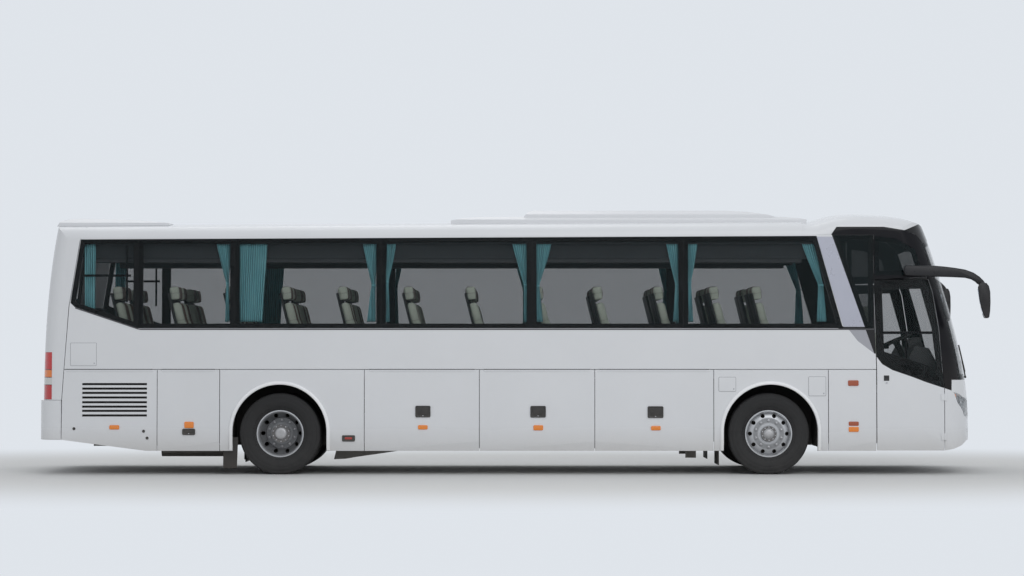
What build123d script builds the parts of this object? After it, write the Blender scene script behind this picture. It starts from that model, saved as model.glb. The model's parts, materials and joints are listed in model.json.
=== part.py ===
from build123d import *
import math
import os

# Two-axle coach bus with an integral body, right-hand drive, in millimetres.
# +X is the front, +Y the left side, +Z up; the ground is z = 0 and the origin
# lies under the middle of the overall length and width.

os.makedirs("parts", exist_ok=True)

# ------------------------------------------------------------------ driving sizes
BODY_HALF = 1250.0         # half of the body width
WALL = 50.0                # upper side wall, roof edge and cap thickness
PANEL = 40.0               # lower panels, flaps and doors
GLASS = 8.0                # flush bonded panes
GAP = 8.0                  # open joint between neighbouring panels
FIT = 0.3                  # running clearance at a pin

SKIRT_LOW = 300.0          # bottom edge of the side panels
TUCK_TOP = 420.0           # the side leans inwards below this height
TUCK = 25.0                # how far it leans in at the bottom edge
PANEL_TOP = 1330.0         # joint above the lower panels, and their hinge line
BELT = 1850.0              # lower edge of the side glass
CANT_REAR = (-5455.0, 2990.0)    # joint of side wall and roof, rear end (x, z)
CANT_FRONT = (3880.0, 3035.0)    # the same joint, front end

FRONT_AXLE = 3270.0
REAR_AXLE = -2920.0
TYRE_R = 515.0             # rolling radius, so the axles lie this high
TYRE_HALF = 145.0          # half width of the tyre
AXLE_Z = TYRE_R
FRONT_TYRE_Y = 1060.0      # middle of the front tyre
REAR_OUTER_Y = 1057.0      # middle of the outer rear tyre
REAR_INNER_Y = 722.0       # middle of the inner rear tyre
RIM_R = 298.0              # rim flange, on which the tyre sits
KINGPIN_Y = 900.0
KINGPIN_R = 20.0
SPINDLE_R = 40.0

ARCH_R = 595.0             # wheel opening in the side panel
ARCH_Z = 543.0             # middle of its round top
ARCH_LIP = 45.0            # width of the raised lip
ARCH_PROUD = 12.0          # how far the lip stands out
REAR_ARCH = REAR_AXLE - 2.0
FRONT_ARCH = FRONT_AXLE + 20.0

DECK_TOP = 1250.0          # passenger floor
DECK = 40.0
SILL = 40.0                # inner sill beam beside the deck
PLATFORM_TOP = 1000.0      # driver's platform
BAY_LOW = 330.0            # luggage bay floor, underside
BAY_FLOOR = 30.0
STEP_LOW = 350.0           # lowest entrance step

REAR_END = -6037.0         # rear bumper
FRONT_END = 6037.0         # front of the mirror heads

# joints between the lower side panels, from the rear
X_BUMPER = -5682.0
X_ENGINE = -4470.0
X_SERVICE = -3680.0
X_BAY = (-1850.0, -395.0, 1065.0, 2570.0)
X_FRONT_ARCH = 4020.0
X_DOOR = 4630.0
X_CORNER = 5490.0

SIDES = (("right", -1.0), ("left", 1.0))


# ------------------------------------------------------------------ shape helpers
def block(x0, x1, y0, y1, z0, z1):
    """Box between two corners."""
    size = (x1 - x0, y1 - y0, z1 - z0)
    middle = ((x0 + x1) / 2, (y0 + y1) / 2, (z0 + z1) / 2)
    return Pos(*middle) * Box(*size)


def side_block(way, x0, x1, inner, outer, z0, z1):
    """Box between two distances from the middle plane, on one side."""
    low, high = sorted((way * inner, way * outer))
    return block(x0, x1, low, high, z0, z1)


def prism_xz(points, y0, y1):
    """Side outline of (x, z) points, filled from y0 to y1."""
    low, high = sorted((y0, y1))
    outline = Polyline(*[(x, low, z) for x, z in points], close=True)
    return extrude(make_face(outline), high - low, dir=(0, 1, 0))


def prism_yz(points, x0, x1):
    """Cross section of (y, z) points, filled from x0 to x1."""
    low, high = sorted((x0, x1))
    outline = Polyline(*[(low, y, z) for y, z in points], close=True)
    return extrude(make_face(outline), high - low, dir=(1, 0, 0))


def prism_xy(points, z0, z1):
    """Plan outline of (x, y) points, filled from z0 to z1."""
    outline = Polyline(*[(x, y, z0) for x, y in points], close=True)
    return extrude(make_face(outline), z1 - z0, dir=(0, 0, 1))


def rod(start, end, radius):
    """Round bar between two points."""
    path = Vector(*end) - Vector(*start)
    return extrude(Plane(origin=start, z_dir=path) * Circle(radius), path.length)


def ring_y(x, z, y0, y1, outer, inner=0.0):
    """Disc or tube about a line along Y."""
    low, high = sorted((y0, y1))
    solid = Pos(x, (low + high) / 2, z) * Rot(90, 0, 0) * Cylinder(outer, high - low)
    if inner > 0:
        bore = Pos(x, (low + high) / 2, z) * Rot(90, 0, 0) * Cylinder(inner, high - low + 2)
        solid = solid - bore
    return solid


def post(x, y, z0, z1, radius):
    """Upright round bar."""
    return Pos(x, y, (z0 + z1) / 2) * Cylinder(radius, z1 - z0)


def along(table, z):
    """Straight interpolation in a short table of (z, value) rows."""
    for (z0, a), (z1, b) in zip(table, table[1:]):
        if z0 <= z <= z1:
            return a + (b - a) * (z - z0) / (z1 - z0)
    return table[-1][1]


def grow(points, edge):
    """Outline widened, or drawn in by a negative edge, with sharp corners."""
    face = make_face(Polyline(*points, close=True))
    ring = offset(face, amount=edge, kind=Kind.INTERSECTION).face().outer_wire()
    starts = [line @ 0 for line in ring.order_edges()]
    return [(corner.X, corner.Y) for corner in starts]


def joined(pieces):
    """All solids of the list as one shape."""
    total = pieces[0]
    for piece in pieces[1:]:
        total = total + piece
    return total


def keep(*shapes):
    """Separate solids of one node that do not touch."""
    solids = []
    for shape in shapes:
        solids.extend(shape.solids())
    return Compound(children=solids)


# ------------------------------------------------------------------ body surfaces
# Front and rear end: plan outlines at a few heights (z, x of the tip), each of a
# shallow bow between two round corners; roof: cross sections at a few stations
# (x, z of the crown), each of a shallow crown between two round shoulders.
NOSE_BOW = 3500.0
NOSE_CORNER = 380.0
TAIL_BOW = 9000.0
TAIL_CORNER = 200.0
CROWN_BOW = 9000.0
SHOULDER = 180.0
NOSE = ((250.0, 5955.0), (870.0, 5950.0), (1258.0, 5911.0), (2225.0, 5683.0),
        (2830.0, 5496.0), (3400.0, 5250.0))
TAIL = ((250.0, -6002.0), (940.0, -6001.0), (2130.0, -5956.0), (3400.0, -5770.0))
ROOF_REAR = (-6100.0, 3206.0)
ROOF_FRONT = (3700.0, 3261.0)
DOME = ((3700.0, 3261.0), (4150.0, 3326.0), (4500.0, 3346.0), (4917.0, 3318.0),
        (5151.0, 3262.0), (5355.0, 3150.0), (5600.0, 2900.0), (6050.0, 2440.0))
REAR_JOINT = ((-5400.0, 3400.0), (-5400.0, 3130.0), (-5455.0, 2953.0),
              (-5592.0, 2118.0), (-5649.0, 1358.0), (-5678.0, 944.0))


def plan_face(z, tip, bow, corner, half, back, way):
    """Level outline of one end; way is 1 for the front and -1 for the rear."""
    side = half - corner
    reach = math.sqrt((bow - corner) ** 2 - side ** 2)
    base = tip - way * bow
    turn = base + way * reach
    tangent_x = base + way * bow * reach / (bow - corner)
    tangent_y = bow * side / (bow - corner)
    angle = (math.pi / 2 + math.atan2(side, reach)) / 2
    middle_x = turn + way * corner * math.cos(angle)
    middle_y = side + corner * math.sin(angle)
    lines = [
        Line((back, -half, z), (turn, -half, z)),
        ThreePointArc((turn, -half, z), (middle_x, -middle_y, z), (tangent_x, -tangent_y, z)),
        ThreePointArc((tangent_x, -tangent_y, z), (tip, 0, z), (tangent_x, tangent_y, z)),
        ThreePointArc((tangent_x, tangent_y, z), (middle_x, middle_y, z), (turn, half, z)),
        Line((turn, half, z), (back, half, z)),
        Line((back, half, z), (back, -half, z)),
    ]
    return make_face(Wire(lines))


def crown_face(x, top, bow, shoulder, half, base):
    """Cross section of the roof, straight down its sides to the base."""
    side = half - shoulder
    reach = math.sqrt((bow - shoulder) ** 2 - side ** 2)
    centre = top - bow
    turn = centre + reach
    tangent_y = bow * side / (bow - shoulder)
    tangent_z = centre + bow * reach / (bow - shoulder)
    angle = math.atan2(reach, side) / 2
    middle_y = side + shoulder * math.cos(angle)
    middle_z = turn + shoulder * math.sin(angle)
    lines = [
        Line((x, -half, base), (x, half, base)),
        Line((x, half, base), (x, half, turn)),
        ThreePointArc((x, half, turn), (x, middle_y, middle_z), (x, tangent_y, tangent_z)),
        ThreePointArc((x, tangent_y, tangent_z), (x, 0, top), (x, -tangent_y, tangent_z)),
        ThreePointArc((x, -tangent_y, tangent_z), (x, -middle_y, middle_z), (x, -half, turn)),
        Line((x, -half, turn), (x, -half, base)),
    ]
    return make_face(Wire(lines))


FRONT_BACK = 3600.0        # where the front volume starts
REAR_BACK = -5300.0        # where the rear volume starts


def front_volume(inset):
    """Front end and dome, every surface drawn in by the inset."""
    plans = [plan_face(z, x - inset, NOSE_BOW - inset, NOSE_CORNER - inset,
                       BODY_HALF - inset, FRONT_BACK, 1) for z, x in NOSE]
    crowns = [crown_face(x, z - inset, CROWN_BOW - inset, SHOULDER - inset,
                         BODY_HALF - inset, 200.0) for x, z in DOME]
    return loft(plans) & loft(crowns)


def rear_volume(inset):
    """Rear end, every surface drawn in by the inset."""
    plans = [plan_face(z, x + inset, TAIL_BOW - inset, TAIL_CORNER - inset,
                       BODY_HALF - inset, REAR_BACK, -1) for z, x in TAIL]
    roof = roof_volume(ROOF_REAR[0], REAR_BACK, inset)
    return loft(plans) & roof


def roof_height(x):
    """Crown height of the main roof at a station."""
    return along((ROOF_REAR, ROOF_FRONT), x)


def roof_volume(x0, x1, inset):
    """Main roof with straight sides, between two stations."""
    faces = [crown_face(x, roof_height(x) - inset, CROWN_BOW - inset, SHOULDER - inset,
                        BODY_HALF - inset, 200.0) for x in (x0, x1)]
    return loft(faces, ruled=True)


def cant(x):
    """Height of the joint between side wall and roof."""
    slope = (CANT_FRONT[1] - CANT_REAR[1]) / (CANT_FRONT[0] - CANT_REAR[0])
    return CANT_REAR[1] + slope * (x - CANT_REAR[0])


front_outer = front_volume(0.0)
front_core = front_volume(GLASS)
front_inner = front_volume(PANEL)
front_glass = front_outer - front_core
front_shell = front_outer - front_inner
rear_outer = rear_volume(0.0)
rear_core = rear_volume(GLASS)
rear_glass = rear_outer - rear_core
rear_shell = rear_outer - rear_volume(PANEL)

nodes = {}

# ------------------------------------------------------------------ lower side panels
# Every lower panel is the same rolled section: upright, then leaning in at the foot.
HINGE_R = 4.0              # hinge rod along the top of a flap
HINGE_OUT = 4.0            # its middle stands this far outside the skin
LEAF = 18.0                # height of the hinge leaf on a flap
HINGE_END = 60.0           # the rod stops this far from the ends of a flap


def lean(z):
    """How far the section leans in at a height."""
    return TUCK * max(0.0, TUCK_TOP - z) / (TUCK_TOP - SKIRT_LOW)


def section_bar(way, x0, x1, inner, outer):
    """Bar of the rolled panel section, between two depths from the skin."""
    points = [(way * (outer - lean(z)), z) for z in (PANEL_TOP, TUCK_TOP, SKIRT_LOW)]
    points += [(way * (inner - lean(z)), z) for z in (SKIRT_LOW, TUCK_TOP, PANEL_TOP)]
    return prism_yz(points, x0, x1)


def lower_panel(way, outline, inner=BODY_HALF - PANEL, outer=BODY_HALF):
    """Panel of the rolled section, trimmed to a side outline of (x, z)."""
    low = min(x for x, z in outline)
    high = max(x for x, z in outline)
    trim = prism_xz(outline, way * (inner - TUCK - 50.0), way * (outer + 50.0))
    return section_bar(way, low, high, inner, outer) & trim


def panel_outline(x0, x1, low0=SKIRT_LOW, low1=SKIRT_LOW):
    """Side outline between two joints, half a gap short at every joint."""
    half = GAP / 2
    return [(x0 + half, low0), (x1 - half, low1), (x1 - half, PANEL_TOP - half),
            (x0 + half, PANEL_TOP - half)]


def arch_prism(x, radius, y0, y1):
    """Wheel opening: a round top with upright sides below it."""
    low, high = sorted((y0, y1))
    top = Pos(x, (low + high) / 2, ARCH_Z) * Rot(90, 0, 0) * Cylinder(radius, high - low)
    return top + block(x - radius, x + radius, low, high, 0.0, ARCH_Z)


def arch_panel(way, x0, x1, x_arch):
    """Fixed panel round a wheel, with its raised lip."""
    deep = (way * 1000.0, way * 1400.0)
    panel = lower_panel(way, panel_outline(x0, x1))
    lip = lower_panel(way, panel_outline(x0, x1), BODY_HALF - 1.0, BODY_HALF + ARCH_PROUD)
    ring = lip & arch_prism(x_arch, ARCH_R + ARCH_LIP, *deep)
    return (panel + ring) - arch_prism(x_arch, ARCH_R, *deep)


SLOPE_START = -4615.0      # the rear edge of the skirt rises behind this
SLOPE_END_Z = 440.0        # bottom edge at the bumper
# rear edge of the engine flap, along the cap and the bumper (z, x)
CAP_EDGE = ((PANEL_TOP - GAP / 2, -5651.0), (944.0, -5678.0), (SLOPE_END_Z, X_BUMPER))
GRILLE = (-5419.0, -4599.0)      # louvres of the engine flap, from x to x
LOUVRES = (748.0, 806.0, 859.0, 915.0, 975.0, 1033.0, 1087.0, 1144.0)
LOUVRE_TALL = 28.0
HANDLE_DEEP = 10.0
MARKER_DEEP = 8.0

# flap, rear joint, front joint, handle (x0, x1, z0, z1), marker (x0, x1, z0, z1)
FLAPS = (
    ("engine_flap", X_BUMPER, X_ENGINE, None, (-5071.0, -4948.0, 573.0, 624.0)),
    ("service_flap", X_ENGINE, X_SERVICE, (-4148.0, -3990.0, 504.0, 577.0),
     (-4123.0, -4007.0, 590.0, 667.0)),
    ("luggage_door_1", X_BAY[0], X_BAY[1], (-1201.0, -1016.0, 728.0, 867.0),
     (-1169.0, -1050.0, 573.0, 624.0)),
    ("luggage_door_2", X_BAY[1], X_BAY[2], (253.0, 443.0, 725.0, 865.0),
     (290.0, 410.0, 562.0, 624.0)),
    ("luggage_door_3", X_BAY[2], X_BAY[3], (1736.0, 1929.0, 719.0, 861.0),
     (1777.0, 1896.0, 562.0, 614.0)),
)


def side_boss(way, place, deep):
    """Raised lamp or handle on the side, seated in the panel."""
    x0, x1, z0, z1 = place
    return side_block(way, x0, x1, BODY_HALF - 6.0, BODY_HALF + deep, z0, z1)


def flap(way, name, x0, x1, handle, marker):
    """Top-hinged flap with its hinge leaf, handle and marker lamp."""
    outline = panel_outline(x0, x1)
    if name == "engine_flap":
        rear_edge = [(x + GAP / 2, z) for z, x in CAP_EDGE]
        outline = rear_edge + [(SLOPE_START, SKIRT_LOW)] + outline[1:3]
    solid = lower_panel(way, outline)
    if name == "engine_flap":
        for z in LOUVRES:
            solid = solid - side_block(way, GRILLE[0], GRILLE[1], 1100.0, 1400.0,
                                       z - LOUVRE_TALL / 2, z + LOUVRE_TALL / 2)
    leaf_top = PANEL_TOP - HINGE_R - FIT
    leaf = side_block(way, x0 + HINGE_END, x1 - HINGE_END, BODY_HALF - 2.0,
                      BODY_HALF + HINGE_OUT + 3.0, leaf_top - LEAF, leaf_top)
    solid = solid + leaf + side_boss(way, marker, MARKER_DEEP)
    if handle:
        solid = solid + side_boss(way, handle, HANDLE_DEEP)
    return solid


for side, way in SIDES:
    for name, x0, x1, handle, marker in FLAPS:
        nodes[f"{name}_{side}"] = flap(way, name, x0, x1, handle, marker)

# fixed markers and small lids on the panels (x0, x1, z0, z1)
SKIRT_BOSSES = (
    (-2125.0, -1973.0, 425.0, 492.0),
    (4269.0, 4400.0, 1124.0, 1191.0),
    (4276.0, 4400.0, 543.0, 672.0),
)
SMALL_LIDS = ((2636.0, 2847.0, 1054.0, 1230.0), (3772.0, 3986.0, 997.0, 1235.0))
LID_PROUD = 3.0

for side, way in SIDES:
    rear_arch = arch_panel(way, X_SERVICE, X_BAY[0], REAR_ARCH)
    front_arch = arch_panel(way, X_BAY[3], X_FRONT_ARCH, FRONT_ARCH)
    door_post = lower_panel(way, panel_outline(X_FRONT_ARCH, X_DOOR))
    for lid in SMALL_LIDS:
        front_arch = front_arch + (side_boss(way, lid, LID_PROUD)
                                   - arch_prism(FRONT_ARCH, ARCH_R + ARCH_LIP,
                                                way * 1000.0, way * 1400.0))
    rear_arch = rear_arch + side_boss(way, SKIRT_BOSSES[0], MARKER_DEEP)
    for boss in SKIRT_BOSSES[1:]:
        door_post = door_post + side_boss(way, boss, MARKER_DEEP)
    nodes[f"skirt_{side}"] = keep(rear_arch, front_arch, door_post)

# ------------------------------------------------------------------ upper side walls
# Panes are flush with the skin: the wall is cut back behind them and open between
# its posts. The front post is a raised fin that leans back towards the roof.
PANE_JOINTS = (-4716.0, -3492.0, -1640.0, 269.0, 2189.0)
PANE_GAP = 6.0
POST_HALF = 60.0           # half width of a post behind a pane joint
EDGE = 60.0                # bonded border of a pane
REAR_PANE = ((-5519.0, 2119.0), (-5571.0, 2170.0), (-5558.0, 2277.0), (-5443.0, 2976.0))
FIN = ((3880.0, 3010.0), (4078.0, 3010.0), (4482.0, 1868.0), (4212.0, 1868.0))
FIN_PROUD = 6.0


def pane_top(x):
    """Upper edge of the side glass."""
    return cant(x) - 14.0


FIN_REAR_LOW = (FIN[3][0] - GAP / 2, BELT)
FIN_REAR_TOP = (FIN[0][0] - GAP / 2, pane_top(FIN[0][0]))
GLASS_BAND = [REAR_PANE[0], REAR_PANE[1], REAR_PANE[2], REAR_PANE[3], FIN_REAR_TOP,
              FIN_REAR_LOW, (PANE_JOINTS[0], BELT)]
FRONT_EDGE = ((4633.0, 1334.0), (4599.0, 2470.0))      # rear edge of the front door
QUARTER_TOP = 3029.0
WALL_FRONT_X = 4560.0


def wall_outline():
    """Upper side wall, from the rear cap to the front door."""
    half = GAP / 2
    low = PANEL_TOP + half
    rear = [(x + half, z) for x, z in REAR_JOINT if CANT_REAR[1] > z > low]
    rear_low = (along(((944.0, -5678.0), (1358.0, -5649.0)), low) + half, low)
    top_rear = (-5440.0, cant(-5440.0))
    return [rear_low, (X_DOOR - half, low), (FRONT_EDGE[1][0] - half, FRONT_EDGE[1][1]),
            (FRONT_EDGE[1][0] - half, cant(WALL_FRONT_X)), top_rear] + rear


def side_wall(way):
    """Side wall with its sill beam, cut back and opened behind the glass."""
    wall = prism_xz(wall_outline(), way * (BODY_HALF - WALL), way * BODY_HALF)
    sill = side_block(way, -5528.0, X_DOOR - 40.0, BODY_HALF - WALL - SILL, BODY_HALF - WALL,
                      DECK_TOP - DECK, PANEL_TOP + 70.0)
    wall = wall + sill
    for name, x0, x1, handle, marker in FLAPS:
        ends = (x0 + HINGE_END, x1 - HINGE_END)
        rail = side_block(way, *ends, BODY_HALF - 2.0, BODY_HALF + HINGE_OUT, PANEL_TOP + HINGE_R,
                          PANEL_TOP + HINGE_R * 4)
        web = side_block(way, *ends, BODY_HALF + 1.0, BODY_HALF + HINGE_OUT, PANEL_TOP,
                         PANEL_TOP + HINGE_R * 2)
        bar_y = way * (BODY_HALF + HINGE_OUT)
        bar = rod((ends[0], bar_y, PANEL_TOP), (ends[1], bar_y, PANEL_TOP), HINGE_R)
        wall = wall + rail + web + bar
    bed = prism_xz(GLASS_BAND, way * (BODY_HALF - GLASS), way * (BODY_HALF + 5.0))
    wall = wall - bed
    quarter = prism_xz(QUARTER_PANE, way * (BODY_HALF - GLASS), way * (BODY_HALF + 5.0))
    wall = wall - quarter
    for outline in (GLASS_BAND, QUARTER_PANE):
        band = prism_xz(grow(outline, -EDGE), way * 1100.0, way * 1400.0)
        for x in PANE_JOINTS:
            band = band - block(x - POST_HALF, x + POST_HALF, -1500.0, 1500.0, 0.0, 4000.0)
        wall = wall - band
    return wall


# ahead of the fin the glass runs over a fixed quarter pane and over the front door
QUARTER_PANE = [(FIN[1][0] + 8.0, QUARTER_TOP), (FIN[2][0] + 6.0, BELT),
                (FRONT_EDGE[1][0] - GAP, BELT), (FRONT_EDGE[1][0] - GAP, QUARTER_TOP)]

for side, way in SIDES:
    nodes[f"side_wall_{side}"] = side_wall(way)

# ------------------------------------------------------------------ side glass
# All panes of both sides and the rear window are one glazed set.
def side_panes(way):
    """Flush panes between the joints, with the quarter pane ahead of the fin."""
    skin = (way * (BODY_HALF - GLASS), way * BODY_HALF)
    band = prism_xz(GLASS_BAND, *skin)
    for x in PANE_JOINTS:
        band = band - block(x - PANE_GAP / 2, x + PANE_GAP / 2, -1500.0, 1500.0, 0.0, 4000.0)
    return [band, prism_xz(QUARTER_PANE, *skin)]


# ------------------------------------------------------------------ front door outlines
# Side outline of the door opening (x, z); the front edge leans back with the screen
# pillar. Above the sweep line the door and the pillar are black and glazed.
DOOR = ((4633.0, 300.0), (5490.0, 300.0), (5490.0, 1090.0), (5463.0, 1387.0),
        (5426.0, 1852.0), (5352.0, 2314.0), (5297.0, 2470.0), (4599.0, 2470.0),
        (4633.0, 1334.0))
SWEEP = ((4500.0, 1703.0), (4626.0, 1497.0), (4702.0, 1396.0), (4832.0, 1321.0),
         (5074.0, 1238.0), (5258.0, 1168.0), (5470.0, 1098.0), (5580.0, 1064.0))
DOOR_GLASS = ((4702.0, 2343.0), (5194.0, 2352.0), (5333.0, 1852.0), (5398.0, 1340.0),
              (4729.0, 1554.0))
DOOR_HEADER = ((4612.0, 2520.0), (4612.0, 3020.0), (4880.0, 2985.0), (5128.0, 2849.0),
               (5232.0, 2520.0))
DOME_EDGE = ((4060.0, 3037.0), (4130.0, 3137.0), (4727.0, 3137.0), (4987.0, 3095.0),
             (5141.0, 3043.0), (5246.0, 2932.0))
SCREEN_TOP = ((5100.0, 2881.0), (5246.0, 2932.0), (5700.0, 3090.0))
SCREEN_LOW = 1204.0
SCREEN_HALF = 1130.0       # half width of the windscreen
SCREEN_BORDER = 60.0       # bonded border of the windscreen
PLUG_EXTRA = 3.0           # wider joint ahead of the swinging entrance door


# ------------------------------------------------------------------ front end
def front_region(points):
    """Full-width prism of a side outline at the front."""
    return prism_xz(points, -1400.0, 1400.0)


def outboard(inner, x0=3500.0, x1=6200.0):
    """Both strips of the body outside a distance from the middle plane."""
    return (block(x0, x1, inner, 1400.0, 0.0, 3600.0)
            + block(x0, x1, -1400.0, -inner, 0.0, 3600.0))


def inboard(half):
    """Strip of the front end inside a distance from the middle plane."""
    return block(3500.0, 6200.0, -half, half, 0.0, 3600.0)


def foot_wedges():
    """What the leaning foot of the sides takes off the upright skin."""
    wedges = []
    for side, way in SIDES:
        points = [(way * BODY_HALF, TUCK_TOP), (way * 1300.0, TUCK_TOP), (way * 1300.0, 200.0),
                  (way * (BODY_HALF - lean(200.0)), 200.0)]
        wedges.append(prism_yz(points, 3500.0, 6100.0))
    return joined(wedges)


wedges = foot_wedges()
door_hole = front_region(grow(DOOR, GAP / 2))
screen_outline = [(5100.0, SCREEN_LOW), (6200.0, SCREEN_LOW), (6200.0, 3265.0),
                  SCREEN_TOP[1], SCREEN_TOP[0]]
screen_zone = front_region(screen_outline) & inboard(SCREEN_HALF)
screen_bed = front_region(grow(screen_outline, GAP / 2)) & inboard(SCREEN_HALF + GAP / 2)
screen_bed = screen_bed - front_core
nodes["windscreen"] = front_glass & screen_zone

dome_outline = [(ROOF_FRONT[0], 3500.0), (ROOF_FRONT[0], cant(ROOF_FRONT[0])), *DOME_EDGE,
                SCREEN_TOP[2], (6200.0, 3500.0)]
header_low = [(x, z - SCREEN_BORDER) for x, z in SCREEN_TOP]
header_outline = [*header_low, (5700.0, 3200.0), (5100.0, 3000.0)]
header = front_shell & front_region(header_outline) & inboard(SCREEN_HALF - SCREEN_BORDER)
dome = (front_shell & front_region(dome_outline)) + header
nodes["roof_dome"] = dome - screen_bed

PILLAR_INNER = SCREEN_HALF - SCREEN_BORDER + 5.0
pillar_outline = [(4062.0, cant(4062.0)), (4132.0, 3133.0), (4727.0, 3133.0), (4985.0, 3091.0),
                  (5139.0, 3039.0), (5244.0, 2928.0), (6200.0, 2928.0), (6200.0, SCREEN_LOW),
                  (5584.0, SCREEN_LOW), (5580.0, 1068.0), (5470.0, 1102.0),
                  (5440.0, 1102.0), (5280.0, 2500.0), (4603.0, 2474.0),
                  (4599.0 + GAP / 2, cant(4599.0))]
pillars = (front_shell & front_region(pillar_outline) & outboard(PILLAR_INNER)) - door_hole
pillars = pillars - screen_bed
header_pane = front_glass & front_region(DOOR_HEADER) & outboard(900.0)
header_bed = (front_region(DOOR_HEADER) & outboard(900.0)) - front_core
header_hole = front_region(grow(DOOR_HEADER, -EDGE)) & outboard(900.0)
pillars = pillars - header_bed - header_hole
nodes["front_pillars"] = keep(pillars)

lamp_outline = [(1206.0, 1046.0), (1179.0, 905.0), (1128.0, 827.0), (1076.0, 735.0),
                (760.0, 690.0), (690.0, 830.0), (760.0, 930.0), (1076.0, 975.0)]
FOG_Y = 900.0
FOG_Z = 520.0
FOG_R = 55.0
panel_low = [(5400.0, 300.0), (5470.0, 300.0), (5612.0, 326.0), (5723.0, 367.0),
             (5800.0, 425.0), (6200.0, 440.0)]
panel_outline_front = [*panel_low, (6200.0, SCREEN_LOW - GAP), (5588.0, SCREEN_LOW - GAP),
                       (5584.0, 1062.0), (5494.0, 1090.0), (5400.0, 1090.0)]
screen_sill = (front_shell & inboard(SCREEN_HALF - SCREEN_BORDER)
               & block(5300.0, 6200.0, -1200.0, 1200.0, SCREEN_LOW - GAP - 1.0,
                       SCREEN_LOW + SCREEN_BORDER))
panel = (front_shell & front_region(panel_outline_front)) + screen_sill
panel = panel - screen_bed - door_hole
lamps = []
for side, way in SIDES:
    lamp = front_shell & prism_yz([(way * y, z) for y, z in lamp_outline], 5500.0, 6200.0)
    fog = front_shell & rod((5600.0, way * FOG_Y, FOG_Z), (6200.0, way * FOG_Y, FOG_Z), FOG_R)
    lamps.extend([lamp, fog])
for lamp in lamps:
    panel = panel - lamp
nodes["headlamps"] = keep(*lamps)

# lower air intake: long slots across the bumper
INTAKE_HALF = 620.0
INTAKE = (500.0, 560.0, 620.0)
for z in INTAKE:
    panel = panel - block(5600.0, 6200.0, -INTAKE_HALF, INTAKE_HALF, z - 17.0, z + 17.0)
panel = panel - wedges

# hinge blocks of the driver's door on the panel, one rod each
HINGE_Z = (480.0, 980.0)
HINGE_TALL = 90.0
DOOR_HINGE_R = 5.0
DOOR_HINGE_X = X_CORNER
DOOR_HINGE_Y = -(BODY_HALF + 6.0)
for z in HINGE_Z:
    low = z - HINGE_TALL / 2
    high = z + HINGE_TALL / 2
    web = block(DOOR_HINGE_X, DOOR_HINGE_X + 26.0, DOOR_HINGE_Y - 2.0, -BODY_HALF + 12.0,
                low, high)
    panel = panel + post(DOOR_HINGE_X, DOOR_HINGE_Y, low, high, DOOR_HINGE_R) + web
nodes["front_panel"] = keep(panel)

# ------------------------------------------------------------------ front doors
door_edge = grow(DOOR, -GAP / 2)
glazed_outline = [*SWEEP, (5600.0, 1064.0), (5600.0, 2600.0), (4500.0, 2600.0)]


def one_side(way):
    """Everything on one side of the middle plane."""
    return block(3500.0, 6200.0, min(0.0, way * 1400.0), max(0.0, way * 1400.0), 0.0, 3600.0)


def door_pieces(way, front_cut):
    """Door leaf with its window hole, and the flush black pane over its top."""
    edge = front_region(door_edge) & one_side(way)
    if front_cut:
        edge = edge - front_region([(x - GAP / 2 - front_cut, z) for x, z in DOOR[1:7]]
                                   + [(5700.0, 2470.0), (5700.0, 300.0)])
    leaf = (front_shell & edge) - wedges
    pane = front_glass & edge & front_region(glazed_outline)
    bed = (edge & front_region(glazed_outline)) - front_core
    return (leaf - bed) - front_region(DOOR_GLASS), pane


leaf, pane = door_pieces(-1.0, 0.0)
for z in HINGE_Z:
    tip = DOOR_HINGE_X - DOOR_HINGE_R - FIT
    leaf = leaf + block(tip - 40.0, tip, DOOR_HINGE_Y - 6.0, -BODY_HALF + 4.0,
                        z - HINGE_TALL / 2 + 5.0, z + HINGE_TALL / 2 - 5.0)
nodes["driver_door"] = leaf
nodes["driver_door_glass"] = pane

# The entrance door is carried parallel to the side by an upright with two arms.
PIVOT = (5330.0, 1110.0)
ARM = 520.0
ARM_REACH_Y = 15.0         # the arm's tip lies this far outboard of its pivot
ARM_Z = (620.0, 1380.0)
ARM_TALL = 30.0
TIP = (PIVOT[0] - math.sqrt(ARM ** 2 - ARM_REACH_Y ** 2), PIVOT[1] + ARM_REACH_Y)
UPRIGHT_R = 24.0
PIN_R = 12.0
upright = post(*PIVOT, STEP_LOW + FIT, ARM_Z[1] + 60.0, UPRIGHT_R)
leaf, pane = door_pieces(1.0, PLUG_EXTRA)
for z in ARM_Z:
    bar = prism_xy([(PIVOT[0], PIVOT[1] - 18.0), (PIVOT[0], PIVOT[1] + 18.0),
                    (TIP[0], TIP[1] + 18.0), (TIP[0], TIP[1] - 18.0)],
                   z - ARM_TALL / 2, z + ARM_TALL / 2)
    eye = post(*TIP, z - ARM_TALL / 2, z + ARM_TALL / 2, 18.0)
    pin = post(*TIP, z - ARM_TALL / 2 - 50.0, z, PIN_R)
    upright = upright + bar + eye + pin
    top = z - ARM_TALL / 2 - 1.0
    lug = block(TIP[0] - 30.0, TIP[0] + 30.0, TIP[1] - 25.0, BODY_HALF - PANEL + 2.0,
                top - 36.0, top)
    leaf = leaf + (lug - post(*TIP, top - 60.0, top + 10.0, PIN_R + FIT))
nodes["door_arm"] = upright
nodes["passenger_door"] = leaf
nodes["passenger_door_glass"] = pane

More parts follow.
